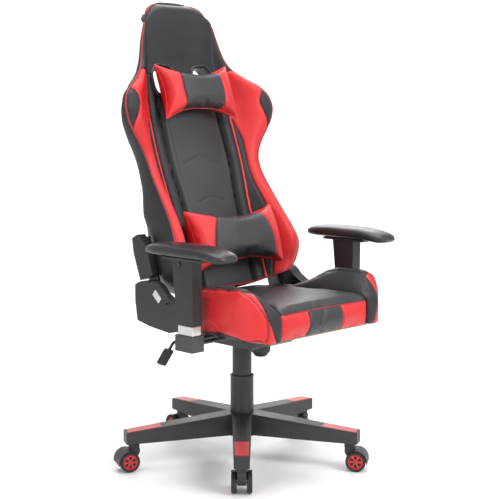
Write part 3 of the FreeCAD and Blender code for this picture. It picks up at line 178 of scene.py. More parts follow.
def surface(name, colour, deep, worn, rough, grain, depth, fine=0.35, spread=0.08,
            stretch=(1, 1, 1), metallic=0.0, sheen=0.0, coat=0.0, specular=0.5, cells=True):
    """Finish with a grain, cloudy colour, uneven gloss and paler worn edges."""
    mat, tree, shader = new_material(name)
    link = tree.links.new
    place = tree.nodes.new("ShaderNodeTexCoord")
    mapping = tree.nodes.new("ShaderNodeMapping")
    mapping.inputs["Scale"].default_value = stretch
    link(place.outputs["Object"], mapping.inputs["Vector"])
    where = mapping.outputs["Vector"]
    cloud = node(tree, "ShaderNodeTexNoise", Scale=7.0, Detail=4.0, Roughness=0.6)
    link(where, cloud.inputs["Vector"])
    speck = node(tree, "ShaderNodeTexNoise", Scale=0.45 / grain, Detail=3.0, Roughness=0.6)
    link(where, speck.inputs["Vector"])
    height = speck.outputs["Fac"]
    if cells:
        cell = node(tree, "ShaderNodeTexVoronoi", Scale=1.0 / grain)
        cell.feature = "DISTANCE_TO_EDGE"
        link(where, cell.inputs["Vector"])
        pebbles = ramp(tree, cell.outputs["Distance"], ((0.0, 0.0), (0.22, 1.0)))
        height = added(tree, pebbles, height, fine)
    crease = node(tree, "ShaderNodeTexNoise", Scale=38.0, Detail=2.0, Roughness=0.5,
                  Distortion=0.6)
    link(where, crease.inputs["Vector"])
    height = added(tree, height, crease.outputs["Fac"], 0.8 if cells else 0.1)
    bumped = node(tree, "ShaderNodeBump", Strength=0.55, Distance=depth)
    link(height, bumped.inputs["Height"])
    link(bumped.outputs["Normal"], shader.inputs["Normal"])
    clouds = ramp(tree, cloud.outputs["Fac"], ((0.32, 0.0), (0.7, 1.0)))
    toned = mixed_colour(tree, clouds, deep, colour)
    shape = tree.nodes.new("ShaderNodeNewGeometry")
    edges = ramp(tree, shape.outputs["Pointiness"], ((0.515, 0.0), (0.60, 1.0)))
    scuff = node(tree, "ShaderNodeMath", operation="MULTIPLY")
    link(edges, scuff.inputs[0])
    link(ramp(tree, speck.outputs["Fac"], ((0.35, 0.15), (0.65, 0.75))), scuff.inputs[1])
    link(mixed_colour(tree, scuff.outputs[0], toned, worn), shader.inputs["Base Color"])
    link(ramp(tree, cloud.outputs["Fac"], ((0.25, rough - spread), (0.75, rough + spread))),
         shader.inputs["Roughness"])
    shader.inputs["Metallic"].default_value = metallic
    shader.inputs["Specular IOR Level"].default_value = specular
    shader.inputs["Sheen Weight"].default_value = sheen
    shader.inputs["Sheen Roughness"].default_value = 0.45
    shader.inputs["Coat Weight"].default_value = coat
    shader.inputs["Coat Roughness"].default_value = 0.25
    return mat


BLACK = (0.012, 0.012, 0.014)
M = {
    "leather_black": surface("leather_black", (0.020, 0.020, 0.023), (0.013, 0.013, 0.015),
                             (0.05, 0.05, 0.055), 0.40, 0.0013, 0.00022,
                             specular=0.34),
    # Lighter, glossier copy of the black leather: a painted highlight for the centre panel of the
    # back, the seat centre and the pillows' black sides.
    "leather_grey": surface("leather_grey", (0.034, 0.034, 0.038), (0.024, 0.024, 0.028),
                            (0.07, 0.07, 0.075), 0.40, 0.0013, 0.00022,
                            specular=0.42),
    "leather_red": surface("leather_red", (0.66, 0.020, 0.024), (0.56, 0.014, 0.017),
                           (0.78, 0.08, 0.08), 0.38, 0.0013, 0.00020, specular=0.42),
    "piping_red": surface("piping_red", (0.30, 0.012, 0.014), (0.20, 0.008, 0.010),
                          (0.50, 0.05, 0.05), 0.45, 0.0009, 0.00012),
    "thread": surface("thread", (0.10, 0.008, 0.009), (0.06, 0.006, 0.007),
                      (0.22, 0.02, 0.02), 0.6, 0.0005, 0.00008, cells=False),
    "thread_black": surface("thread_black", (0.03, 0.03, 0.033), (0.02, 0.02, 0.022),
                            (0.06, 0.06, 0.06), 0.6, 0.0005, 0.00008, cells=False),
    "nylon_black": surface("nylon_black", (0.016, 0.016, 0.018), (0.011, 0.011, 0.012),
                           (0.045, 0.045, 0.05), 0.48, 0.0007, 0.00008, cells=False),
    "red_trim": surface("red_trim", (0.52, 0.014, 0.022), (0.42, 0.010, 0.016),
                        (0.72, 0.08, 0.08), 0.38, 0.0008, 0.00006, cells=False, coat=0.1),
    "tyre_black": surface("tyre_black", (0.012, 0.012, 0.013), (0.008, 0.008, 0.009),
                          (0.05, 0.05, 0.05), 0.55, 0.0006, 0.0001, cells=False),
    "steel": surface("steel", (0.42, 0.42, 0.44), (0.30, 0.30, 0.32), (0.62, 0.62, 0.62),
                     0.32, 0.0008, 0.00005, metallic=1.0, cells=False),
    "black_steel": surface("black_steel", (0.013, 0.013, 0.014), (0.009, 0.009, 0.010),
                           (0.06, 0.06, 0.06), 0.40, 0.0009, 0.00010, cells=False,
                           coat=0.15),
    "silver_steel": surface("silver_steel", (0.66, 0.66, 0.68), (0.52, 0.52, 0.54),
                            (0.85, 0.85, 0.85), 0.30, 0.0006, 0.00005,
                            stretch=(1, 1, 0.08), metallic=0.85, cells=False),
    "cover_black": surface("cover_black", (0.014, 0.014, 0.016), (0.010, 0.010, 0.011),
                           (0.05, 0.05, 0.055), 0.42, 0.0008, 0.00010, cells=False),
    "soft_pad": surface("soft_pad", (0.017, 0.017, 0.019), (0.012, 0.012, 0.013),
                        (0.05, 0.05, 0.055), 0.36, 0.0010, 0.00010, coat=0.1),
    "plywood": surface("plywood", (0.32, 0.20, 0.10), (0.24, 0.14, 0.07), (0.45, 0.32, 0.2),
                       0.6, 0.0012, 0.0002, stretch=(1, 0.2, 1), cells=False),
}


# ---------------------------------------------------------------------- mesh helpers

def add_object(name, mesh, body, slot, finish=None, smooth=True):
    piece = bpy.data.objects.new(name, mesh)
    bpy.context.scene.collection.objects.link(piece)
    mesh.materials.clear()
    mesh.materials.append(M[finish or slot])
    for face in mesh.polygons:
        face.use_smooth = smooth
    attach(piece, body)
    return piece


def mesh_from(points, faces):
    mesh = bpy.data.meshes.new("made")
    mesh.from_pydata([tuple(p) for p in points], [], faces)
    mesh.update()
    return mesh


def with_modifier(mesh, kind, **settings):
    """A mesh changed by one modifier, with nothing left on an object."""
    holder = bpy.data.objects.new("holder", mesh)
    bpy.context.scene.collection.objects.link(holder)
    made = holder.modifiers.new("made", kind)
    for key, value in settings.items():
        setattr(made, key, value)
    bpy.context.view_layer.update()
    seen = holder.evaluated_get(bpy.context.evaluated_depsgraph_get())
    result = bpy.data.meshes.new_from_object(seen)
    bpy.data.objects.remove(holder)
    return result


def mesh_points(mesh):
    flat = np.empty(len(mesh.vertices) * 3)
    mesh.vertices.foreach_get("co", flat)
    return flat.reshape(-1, 3)


def set_points(mesh, points):
    mesh.vertices.foreach_set("co", np.asarray(points, float).ravel())
    mesh.update()


def loop_grid(rings, closed_ring=True, capped=True):
    """Faces over rings of points, each ring joined to the next."""
    count = len(rings[0])
    points = [p for ring in rings for p in ring]
    faces = []
    for j in range(len(rings) - 1):
        for i in range(count if closed_ring else count - 1):
            k = (i + 1) % count
            faces.append((j * count + i, j * count + k, (j + 1) * count + k,
                          (j + 1) * count + i))
    if capped:
        faces.append(tuple(reversed(range(count))))
        start = (len(rings) - 1) * count
        faces.append(tuple(range(start, start + count)))
    return points, faces


def resampled(path, step, closed=False):
    p = np.array(path, float)
    if closed:
        p = np.vstack([p, p[:1]])
    length = np.r_[0, np.cumsum(np.linalg.norm(np.diff(p, axis=0), axis=1))]
    count = max(2, int(round(length[-1] / step)) + 1)
    at = np.linspace(0, length[-1], count)
    out = np.stack([np.interp(at, length, p[:, i]) for i in range(3)], -1)
    return out[:-1] if closed else out


def relaxed(path, rounds, closed=False):
    p = np.array(path, float)
    for _ in range(rounds):
        if closed:
            p = 0.5 * p + 0.25 * (np.roll(p, 1, 0) + np.roll(p, -1, 0))
        else:
            p[1:-1] = 0.5 * p[1:-1] + 0.25 * (p[:-2] + p[2:])
    return p


def tube(path, radius, sides=8, closed=False):
    """Round bead along a path, as points and faces."""
    p = np.array(path, float)
    count = len(p)
    if closed:
        ahead = np.roll(p, -1, 0) - np.roll(p, 1, 0)
    else:
        ahead = np.gradient(p, axis=0)
    ahead /= np.linalg.norm(ahead, axis=1)[:, None]
    side = np.cross(ahead[0], (0.3, 0.2, 0.9))
    side /= np.linalg.norm(side)
    rings = []
    for i in range(count):
        side = side - ahead[i] * (side @ ahead[i])
        side /= np.linalg.norm(side)
        other = np.cross(ahead[i], side)
        angles = [2 * math.pi * k / sides for k in range(sides)]
        rings.append([p[i] + radius * (math.cos(a) * side + math.sin(a) * other)
                      for a in angles])
    if not closed:
        return loop_grid(rings)
    points, faces = loop_grid(rings, capped=False)
    shift = min(range(sides), key=lambda k: np.linalg.norm(rings[0][k] - rings[-1][0]))
    last = (count - 1) * sides
    for i in range(sides):
        k = (i + 1) % sides
        faces.append((last + i, last + k, (k + shift) % sides, (i + shift) % sides))
    return points, faces


def gathered(parts):
    """Several (points, faces) pairs as one mesh."""
    points, faces = [], []
    for more, loops in parts:
        start = len(points)
        points.extend(more)
        faces.extend(tuple(start + i for i in loop) for loop in loops)
    return mesh_from(points, faces)


def split_along(bm, value):
    """Cut a mesh where value(points) is zero; NaN leaves a place out."""
    bm.verts.ensure_lookup_table()
    points = np.array([v.co for v in bm.verts])
    level = value(points)
    at = {v: level[i] for i, v in enumerate(bm.verts)}
    on = set()
    crossing = []
    for edge in bm.edges:
        a, b = edge.verts
        if at[a] * at[b] < 0:
            crossing.append((edge, a, b, at[a] / (at[a] - at[b])))
    moved = {}
    for edge, a, b, t in crossing:
        for v, other, share in ((a, b, t), (b, a, 1 - t)):
            if share < 0.22 and share < moved.get(v, (1,))[0]:
                moved[v] = (share, v.co.lerp(other.co, share))
    for v, (share, place) in moved.items():
        v.co = place
        at[v] = 0.0
        on.add(v)
    for edge, a, b, t in crossing:
        if a in on or b in on:
            continue
        _, fresh = bmesh.utils.edge_split(edge, a, t)
        at[fresh] = 0.0
        on.add(fresh)
    bmesh.ops.connect_verts(bm, verts=list(on))
    return {e for e in bm.edges if e.verts[0] in on and e.verts[1] in on
            and not (abs(at[e.verts[0]]) > 0)}


def chains(edges):
    """Ordered runs of vertices along a set of edges: (vertices, closed)."""
    around = {}
    for edge in edges:
        for v in edge.verts:
            around.setdefault(v, []).append(edge)
    left = set(edges)
    runs = []
    starts = [v for v in around if len(around[v]) != 2] + list(around)
    for start in starts:
        for first in around[start]:
            if first not in left:
                continue
            run = [start]
            edge, v = first, start
            while edge is not None:
                left.discard(edge)
                v = edge.other_vert(v)
                run.append(v)
                onward = [e for e in around[v] if e in left]
                edge = onward[0] if len(around[v]) == 2 and onward else None
            closed = run[0] is run[-1]
            runs.append((run[:-1] if closed else run, closed))
    return runs


class Upholstery:
    """A soft closed form cut into panels, with seams, piping and stitches."""

    def __init__(self, mesh, to_row=None):
        self.bm = bmesh.new()
        self.bm.from_mesh(mesh)
        self.to_row = to_row or (lambda p: p)
        self.seams = []

    def cut(self, value, depth, width, thread=None, piping=None, inset=0.0):
        edges = split_along(self.bm, value)
        runs = []
        for run, closed in chains(edges):
            if len(run) > 5:
                runs.append(([v for v in run], closed))
        self.seams.append({"runs": runs, "depth": depth, "width": width, "thread": thread,
                           "piping": piping, "inset": inset})

    def sink(self):
        """Pull the surface in along every seam; panels are told apart before that."""
        self.centres = np.array([f.calc_center_median() for f in self.bm.faces])
        self.front = np.array([f.material_index == 1 for f in self.bm.faces])
        self.bm.normal_update()
        verts = list(self.bm.verts)
        push = np.zeros(len(verts))
        spots = np.array([v.co for v in verts])
        for seam in self.seams:
            dots = [v.co.copy() for run, closed in seam["runs"] for v in run]
            if not dots:
                continue
            fine = []
            for run, closed in seam["runs"]:
                fine.extend(resampled([v.co for v in run], 0.0015, closed))
            tree = kdtree.KDTree(len(fine))
            for i, dot in enumerate(fine):
                tree.insert(dot, i)
            tree.balance()
            reach = 2.5 * seam["width"]
            low, high = np.min(fine, 0) - reach, np.max(fine, 0) + reach
            near = np.nonzero(((spots > low) & (spots < high)).all(1))[0]
            for i in near:
                gap = tree.find(verts[i].co)[2]
                if gap < reach:
                    push[i] = max(push[i], seam["depth"] * bump(gap, seam["width"]))
        normals = [v.normal.copy() for v in verts]
        for v, n, amount in zip(verts, normals, push):
            if amount > 0:
                v.co -= n * amount
        self.bm.normal_update()

    def trimmings(self, name, body):
        """Piping beads and stitches along the seams, as pieces of their own."""
        surface_tree = BVHTree.FromBMesh(self.bm)
        beads, threads = {}, {}
        for seam in self.seams:
            for run, closed in seam["runs"]:
                path = relaxed(resampled([v.co for v in run], 0.003, closed), 4, closed)
                if len(path) < 6:
                    continue
                if seam["piping"]:
                    finish, radius = seam["piping"]
                    lifted = []
                    for p in path:
                        spot, normal, _, _ = surface_tree.find_nearest(Vector(p))
                        lifted.append(np.array(spot + normal * (radius * 0.35)))
                    lifted = relaxed(lifted, 3, closed)
                    beads.setdefault(finish, []).append(
                        tube(self.to_row(lifted), radius, 8, closed))
                if seam["thread"]:
                    finish, offsets = seam["thread"]
                    for offset in offsets:
                        threads.setdefault(finish, []).extend(
                            self.stitches(surface_tree, path, closed, offset))
        made = []
        for finish, parts in beads.items():
            slot = "leather_red" if "red" in finish else "leather_black"
            made.append(add_object(name + "_piping_" + finish.split("_")[-1],
                                   gathered(parts), body, slot, finish))
        for finish, parts in threads.items():
            slot = "leather_black" if finish.endswith("black") else "leather_red"
            made.append(add_object(name + "_stitching_" + slot.split("_")[1],
                                   gathered(parts), body, slot, finish))
        return made

    def stitches(self, surface_tree, path, closed, offset, pitch=0.0058, length=0.0040,
                 radius=0.00055):
        dots = resampled(path, pitch, closed)
        parts = []
        for i in range(1, len(dots) - 1):
            ahead = dots[i + 1] - dots[i - 1]
            ahead /= np.linalg.norm(ahead)
            spot, normal, _, _ = surface_tree.find_nearest(Vector(dots[i]))
            across = np.cross(ahead, np.array(normal))
            spot, normal, _, gap = surface_tree.find_nearest(Vector(dots[i] + across * offset))
            if spot is None:
                continue
            normal = np.array(normal)
            ahead -= normal * (ahead @ normal)
            ahead /= max(np.linalg.norm(ahead), 1e-9)
            across = np.cross(ahead, normal)
            centre = np.array(spot) + normal * radius * 0.5
            rings = []
            for along, size in ((-0.5, 0.35), (-0.3, 1.0), (0.3, 1.0), (0.5, 0.35)):
                ring = []
                for k in range(5):
                    a = 2 * math.pi * k / 5
                    ring.append(centre + ahead * length * along + radius * size
                                * (math.cos(a) * across + math.sin(a) * normal))
                rings.append(self.to_row(ring))
            parts.append(loop_grid([list(r) for r in rings]))
        return parts

    def piece(self, name, wanted, body, slot, finish=None, thickness=0.003):
        """The faces that wanted(centre) picks, as a cover with a thickness."""
        picked = wanted(self.centres)
        index, points, faces = {}, [], []
        for face, take in zip(self.bm.faces, picked):
            if not take:
                continue
            loop = []
            for v in face.verts:
                if v not in index:
                    index[v] = len(points)
                    points.append(v.co.copy())
                loop.append(index[v])
            faces.append(loop)
        mesh = mesh_from(self.to_row(np.array(points)), faces)
        if thickness:
            mesh = with_modifier(mesh, "SOLIDIFY", thickness=thickness, offset=-1.0)
        return add_object(name, mesh, body, slot, finish)


def inflated(mesh, pressure, cap, seed_frames=20, tension=12.0, bending=0.4, shrink=0.0):
    """Swell a closed mesh as air-filled cloth; no point moves further than cap."""
    start = mesh_points(mesh)
    scene = bpy.context.scene
    holder = bpy.data.objects.new("swelling", mesh)
    scene.collection.objects.link(holder)
    cloth = holder.modifiers.new("cloth", "CLOTH")
    s = cloth.settings
    s.quality = 5
    s.mass = 0.3
    s.tension_stiffness = tension
    s.compression_stiffness = tension * 0.7
    s.shear_stiffness = tension * 0.5
    s.bending_stiffness = bending
    s.tension_damping = s.compression_damping = s.shear_damping = 8
    s.air_damping = 4
    s.use_pressure = True
    s.uniform_pressure_force = pressure
    s.shrink_min = shrink
    s.effector_weights.gravity = 0
    cloth.collision_settings.use_collision = False
    cloth.point_cache.frame_start = 1
    cloth.point_cache.frame_end = seed_frames
    for number in range(1, seed_frames + 1):
        scene.frame_set(number)
    seen = holder.evaluated_get(bpy.context.evaluated_depsgraph_get())
    result = bpy.data.meshes.new_from_object(seen)
    bpy.data.objects.remove(holder)
    scene.frame_set(1)
    ended = mesh_points(result)
    ended -= (ended - start).mean(0)
    move = ended - start
    length = np.linalg.norm(move, axis=1)[:, None]
    set_points(result, start + move * np.minimum(1, cap / np.maximum(length, 1e-9)))
    return result


def remeshed(node_name, voxel, rounds):
    """The CAD solid as an even skin with rounded edges."""
    mesh = frame["nodes"][node_name].data.copy()
    mesh = with_modifier(mesh, "REMESH", mode="VOXEL", voxel_size=voxel)
    return with_modifier(mesh, "SMOOTH", factor=0.5, iterations=rounds)


def softened(name, node_name, width, body=None, slot=None, angle=32, segments=3,
             finish=None):
    """A CAD solid with its edges rounded, as a piece that stands for it."""
    source = frame["nodes"][node_name]
    bm = bmesh.new()
    bm.from_mesh(source.data)
    bmesh.ops.remove_doubles(bm, verts=bm.verts, dist=2e-5)
    bmesh.ops.dissolve_limit(bm, angle_limit=math.radians(1.0), verts=bm.verts,
                             edges=bm.edges)
    mesh = bpy.data.meshes.new("soft")
    bm.to_mesh(mesh)
    bm.free()
    mesh = with_modifier(mesh, "BEVEL", width=width, segments=segments,
                         limit_method="ANGLE", angle_limit=math.radians(angle),
                         use_clamp_overlap=True, harden_normals=False)
    piece = add_object(name, mesh, body or source["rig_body"], slot or "nylon_black", finish)
    for polygon in piece.data.polygons:
        polygon.use_smooth = True
    piece.data = with_modifier(piece.data.copy(), "WEIGHTED_NORMAL", keep_sharp=True)
    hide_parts(node_name)
    return piece


# -------------------------------------------------------------------------- backrest

outline_half = smooth_curve((
    (0.512, 0.164), (0.530, 0.204), (0.560, 0.2285), (0.595, 0.2345), (0.650, 0.225),
    (0.710, 0.215), (0.770, 0.210), (0.830, 0.207), (0.865, 0.2085), (0.890, 0.2155),
    (0.920, 0.231), (0.950, 0.2525), (0.980, 0.270), (1.010, 0.2765), (1.040, 0.2695),
    (1.070, 0.243), (1.100, 0.204), (1.130, 0.173), (1.160, 0.1565), (1.216, 0.1400),
    (1.275, 0.120), (1.307, 0.102)))
edge_height = smooth_curve((
    (0.512, 0.532), (0.560, 0.567), (0.620, 0.621), (0.700, 0.700), (1.120, 1.120),
    (1.180, 1.174), (1.240, 1.222), (1.290, 1.254), (1.325, 1.272)))
wing_height = smooth_curve((
    (0.512, 0.038), (0.555, 0.056), (0.590, 0.075), (0.620, 0.081), (0.650, 0.077),
    (0.700, 0.063), (0.750, 0.046), (0.800, 0.029), (0.830, 0.021), (0.860, 0.018),
    (0.890, 0.021), (0.920, 0.030), (0.950, 0.043), (0.980, 0.055), (1.010, 0.064),
    (1.040, 0.067), (1.070, 0.060), (1.100, 0.044), (1.130, 0.028), (1.160, 0.020),
    (1.200, 0.012), (1.240, 0.004), (1.270, 0.0)))
head_depth = smooth_curve((
    (1.100, 0.0), (1.140, -0.001), (1.193, -0.013), (1.245, -0.030), (1.280, -0.039),
    (1.303, -0.041), (1.318, -0.034), (1.3251, -0.020)))
rear_depth = smooth_curve((
    (0.512, 0.074), (0.540, 0.080), (0.860, 0.080), (0.910, 0.078), (1.060, 0.043),
    (1.150, 0.042), (1.200, 0.041), (1.260, 0.034), (1.290, 0.022), (1.310, 0.006),
    (1.3251, -0.012)))
rear_half = smooth_curve((
    (0.512, 0.130), (0.545, 0.170), (0.620, 0.184), (0.680, 0.184), (0.740, 0.170),
    (0.800, 0.159), (0.900, 0.157), (0.980, 0.170), (1.040, 0.172), (1.080, 0.150),
    (1.130, 0.115), (1.180, 0.084), (1.230, 0.066), (1.280, 0.045), (1.325, 0.030)))
rear_edge = smooth_curve((
    (0.512, 0.010), (0.600, 0.012), (0.665, 0.018), (0.700, 0.036), (0.740, 0.052),
    (0.800, 0.040), (0.860, 0.033), (0.920, 0.015), (0.980, -0.016), (1.030, -0.037),
    (1.060, -0.041), (1.100, -0.019), (1.140, -0.006), (1.200, -0.013), (1.250, -0.025),
    (1.280, -0.035), (1.310, -0.034)))
channel_half = smooth_curve(((0.55, 0.098), (0.75, 0.102), (0.88, 0.112), (1.05, 0.106)))
side_half = smooth_curve(((0.55, 0.142), (0.73, 0.142), (0.82, 0.149), (0.90, 0.152),
                          (1.00, 0.149), (1.08, 0.138), (1.16, 0.120)))
wedge_share = smooth_curve(((0.512, 0.26), (0.62, 0.31), (0.65, 0.34), (0.70, 0.42),
                            (0.74, 0.44), (0.80, 0.38), (0.86, 0.35), (0.92, 0.26),
                            (0.96, 0.14), (1.00, 0.05)))
STRIP_WIDTH = 0.0055
SURFACE_STRETCH = 1.35
WEDGE_TOP = 0.992
PATCH = (0.947, 1.064)
NECK_SEAM = 1.122


def wing_share(x, s):
    """0 where a wing starts to rise, 1 at its outer edge."""
    start = side_half(s)
    return (np.abs(x) - start) / np.maximum(outline_half(s) - start, 0.01)


def front_depth(x, s, xi):
    ax = np.abs(x)
    panel = ease((1.075 - s) / 0.035)
    centre = 0.005 * np.clip(ax / 0.085, 0, 1) ** 2 * panel
    channel = 0.015 * bump(ax - channel_half(s), 0.0075) * panel
    pad = -0.004 * bump(ax - 0.5 * (channel_half(s) + side_half(s)) - 0.004, 0.013) * panel
    t = wing_share(x, s)
    rise = np.where(t < 0.74, ease(t / 0.74), 1 - 0.12 * ((t - 0.74) / 0.26) ** 2)
    wing = -wing_height(s) * rise * (t > 0)
    head = head_depth(s)
    edge = 0.004 * np.abs(xi) ** 6 * ease((s - 1.13) / 0.08)
    slot = 0.004 * bump(s - 1.055, 0.012) * (ax < 0.12) * ease((0.125 - ax) / 0.02)
    return centre + channel + pad + wing + head + edge + slot


def back_form():
    """Closed form of the whole upholstered back, in the back frame."""
    columns, rows, rim = 125, 212, 8
    lin = np.linspace(-1, 1, columns)
    share = lin * (1 - 0.10 * (1 - lin ** 2))
    heights = np.linspace(0.512, 1.3251, rows)
    top_pull = ease((heights - 1.18) / 0.14)
    front, rear = [], []
    for sc, pull in zip(heights, top_pull):
        se = float(edge_height(sc))
        power = 2.4 + 1.4 * pull
        s = sc - (sc - se) * np.abs(share) ** power
        half = float(outline_half(se))
        x = share * half
        d = front_depth(x, s, share)
        if sc > 1.29:
            d = d + 0.010 * ease((sc - 1.29) / 0.035) ** 2
        front.append(np.stack([x, d, s], -1))
        inset = 0.0035
        x = share * (half - inset)
        s = sc - (sc - se) * np.abs(share) ** power
        slope = np.clip((np.abs(x) - rear_half(s)) / np.maximum(half - rear_half(s), 0.01), 0, 1)
        slope = slope * slope * (1.6 - 0.6 * slope)
        r = rear_depth(s) + (rear_edge(s) - rear_depth(s)) * slope
        r = r - 0.0035 * bump(np.abs(x) - 0.108, 0.006) * ease((1.1 - s) / 0.04)
        rear.append(np.stack([x, r, s], -1))
    count = columns * rows
    sitting = (columns - 1) * (rows - 1)
    points = [p for row in front for p in row] + [p for row in rear for p in row]
    faces = []
    for j in range(rows - 1):
        for i in range(columns - 1):
            a = j * columns + i
            faces.append((a, a + 1, a + 1 + columns, a + columns))
            a += count
            faces.append((a, a + columns, a + 1 + columns, a + 1))
    loop = [i for i in range(columns)]
    loop += [j * columns + columns - 1 for j in range(1, rows)]
    loop += [(rows - 1) * columns + i for i in range(columns - 2, -1, -1)]
    loop += [j * columns for j in range(rows - 2, 0, -1)]
    edge = np.array([points[i] for i in loop])
    back = np.array([points[i + count] for i in loop])
    ahead = np.roll(edge, -1, 0) - np.roll(edge, 1, 0)
    outward = np.stack([ahead[:, 2], 0 * ahead[:, 0], -ahead[:, 0]], -1)
    outward /= np.linalg.norm(outward, axis=1)[:, None]
    for _ in range(6):
        outward = 0.5 * outward + 0.25 * (np.roll(outward, 1, 0) + np.roll(outward, -1, 0))
    last = loop
    for k in range(1, rim):
        w = k / rim
        swell = 0.0030 * math.sin(math.pi * w) ** 0.8
        ring = edge * (1 - w) + back * w + outward * swell
        start = len(points)
        points.extend(ring)
        now = list(range(start, start + len(loop)))
        faces.extend((last[i], now[i], now[(i + 1) % len(loop)], last[(i + 1) % len(loop)])
                     for i in range(len(loop)))
        last = now
    now = [i + count for i in loop]
    faces.extend((last[i], now[i], now[(i + 1) % len(loop)], last[(i + 1) % len(loop)])
                 for i in range(len(loop)))
    mesh = mesh_from(points, faces)
    marks = np.zeros(len(faces), np.int32)
    marks[:2 * sitting:2] = 1
    for _ in range(2):
        mesh.materials.append(None)
    mesh.polygons.foreach_set("material_index", marks)
    return mesh, loop


STRAP_CORNERS = [(0.042, 1.070), (0.102, 1.070), (0.108, 1.084), (0.108, 1.120),
                 (0.090, 1.144), (0.042, 1.137)]


def strap_hole(p):
    flat = np.stack([np.abs(p[:, 0]), p[:, 2]], -1)
    return polygon_distance(flat, STRAP_CORNERS, 0.007)


def is_front(p):
    """Whether a point of the back belongs to its front skin."""
    return p[:, 1] < front_depth(p[:, 0], p[:, 2], 0.9) + 0.008


def on_front(p, level):
    return np.where(is_front(p), level, np.nan)


def metres_from_share(p, share):
    width = outline_half(p[:, 2]) - side_half(p[:, 2])
    return (wing_share(p[:, 0], p[:, 2]) - share) * width * SURFACE_STRETCH


def wing_seam(p):
    """Side panel against wing, up to the neck."""
    level = np.abs(p[:, 0]) - side_half(p[:, 2])
    return np.where(is_front(p) & (p[:, 2] < NECK_SEAM + 0.01), level, np.nan)


def strip_seam(p):
    level = np.abs(p[:, 0]) - side_half(p[:, 2]) - STRIP_WIDTH
    return np.where(is_front(p) & (p[:, 2] < WEDGE_TOP + 0.01), level, np.nan)


def wedge_seam(p):
    level = metres_from_share(p, wedge_share(p[:, 2]))
    return np.where(is_front(p) & (p[:, 2] < WEDGE_TOP + 0.004), level, np.nan)


def patch_share(s):
    u = np.clip((s - PATCH[0]) / (PATCH[1] - PATCH[0]), 0, 1)
    return 1.03 - 0.42 * np.sin(math.pi * u ** 1.5) ** 0.7


def patch_seam(p):
    inside = (p[:, 2] > PATCH[0] - 0.004) & (p[:, 2] < PATCH[1] + 0.004)
    return np.where(is_front(p) & inside & (np.abs(p[:, 0]) > 0.17),
                    metres_from_share(p, patch_share(p[:, 2])), np.nan)


def neck_line(x):
    return NECK_SEAM + 0.16 * (np.abs(x) - 0.125)


def neck_seam(p):
    level = p[:, 2] - neck_line(p[:, 0])
    return np.where(is_front(p) & (np.abs(p[:, 0]) > 0.118), level, np.nan)


def chevron(apex, slope, reach):
    def value(p):
        ax = np.abs(p[:, 0])
        level = p[:, 2] - (apex - slope * np.maximum(ax - 0.013, 0))
        return np.where(is_front(p) & (ax < reach), level, np.nan)
    return value


def rear_seam(p):
    level = np.abs(p[:, 0]) - 0.108
    return np.where((p[:, 1] > 0.030) & (p[:, 2] < 1.045), level, np.nan)


def rear_yoke(p):
    level = p[:, 2] - 1.005 - 0.3 * np.maximum(np.abs(p[:, 0]) - 0.02, 0)
    return np.where((p[:, 1] > 0.030) & (np.abs(p[:, 0]) < 0.108), level, np.nan)


def make_back():
    form, border = back_form()
    back = Upholstery(form, leaned)
    bm = back.bm
    bm.verts.ensure_lookup_table()
    border = [bm.verts[i] for i in border]
    split_along(bm, strap_hole)
    doomed = [f for f in bm.faces
              if strap_hole(np.array([f.calc_center_median()]))[0] < -1e-5]
    bmesh.ops.delete(bm, geom=doomed, context="FACES")
    rims = [e for e in bm.edges if e.is_boundary]
    for side in (-1, 1):
        bmesh.ops.bridge_loops(bm, edges=[e for e in rims if e.verts[0].co.x * side > 0])
    bm.normal_update()
    back.seams.append({"runs": [(border, True)], "depth": 0.002, "width": 0.004,
                       "thread": None, "piping": ("piping_red", 0.0026), "inset": 0})
    back.cut(wing_seam, 0.003, 0.0035, thread=("thread_black", (-0.0042,)))
    back.cut(strip_seam, 0.002, 0.0022)
    back.cut(wedge_seam, 0.003, 0.0035, thread=("thread", (-0.004, 0.004)))
    back.cut(patch_seam, 0.0028, 0.0035, thread=("thread_black", (0.004,)))
    back.cut(neck_seam, 0.003, 0.0035)
    back.cut(chevron(0.885, 0.36, 0.072), 0.0022, 0.0026)
    back.cut(chevron(0.765, 0.36, 0.055), 0.0016, 0.0024)
    back.cut(rear_seam, 0.0025, 0.0035, thread=("thread_black", (0.004, -0.004)))
    back.cut(rear_yoke, 0.0025, 0.0035, thread=("thread_black", (0.004, -0.004)))
    back.sink()

    def red(p):
        x, s = p[:, 0], p[:, 2]
        share = wing_share(x, s)
        ax = np.abs(x)
        out = ax > side_half(s)
        strip = out & (ax < side_half(s) + STRIP_WIDTH)
        wedge = out & ~strip & (share < wedge_share(s)) & (s < WEDGE_TOP + 0.004)
        strip_shown = strip & (s > 0.5)
        patch = (share > patch_share(s)) & (s > PATCH[0]) & (s < PATCH[1])
        above = s > neck_line(x)
        return back.front & out & (strip_shown | ~wedge) & ~patch & ~above

    # Centre channel of the back's front, given the lighter black-leather copy as a painted
    # highlight.
    def grey(p):
        return back.front & (np.abs(p[:, 0]) < channel_half(p[:, 2])) & (p[:, 2] < 1.05)

    body = back.piece("back_skin_black", lambda p: ~red(p) & ~grey(p), "back",
                      "leather_black")
    centre = back.piece("back_skin_centre", grey, "back", "leather_black", "leather_grey")
    wings = back.piece("back_skin_red", red, "back", "leather_red")
    back.trimmings("back", "back")
    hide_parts("back_cushion", "back_panel")
    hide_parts("back_bolster_left", "back_bolster_right")



# ------------------------------------------------------------------------------ seat

def nose_inner(p):
    return np.clip(0.188 + 0.42 * (p[:, 2] - 0.40), 0.188, 0.214)


crest_outer = smooth_curve(((-0.320, 0.196), (-0.312, 0.206), (-0.300, 0.217), (-0.285, 0.227),
                            (-0.262, 0.238), (-0.235, 0.244), (-0.200, 0.246), (-0.100, 0.246),
                            (-0.066, 0.232), (-0.055, 0.205), (0.110, 0.205)))
NOSE_START = -0.252


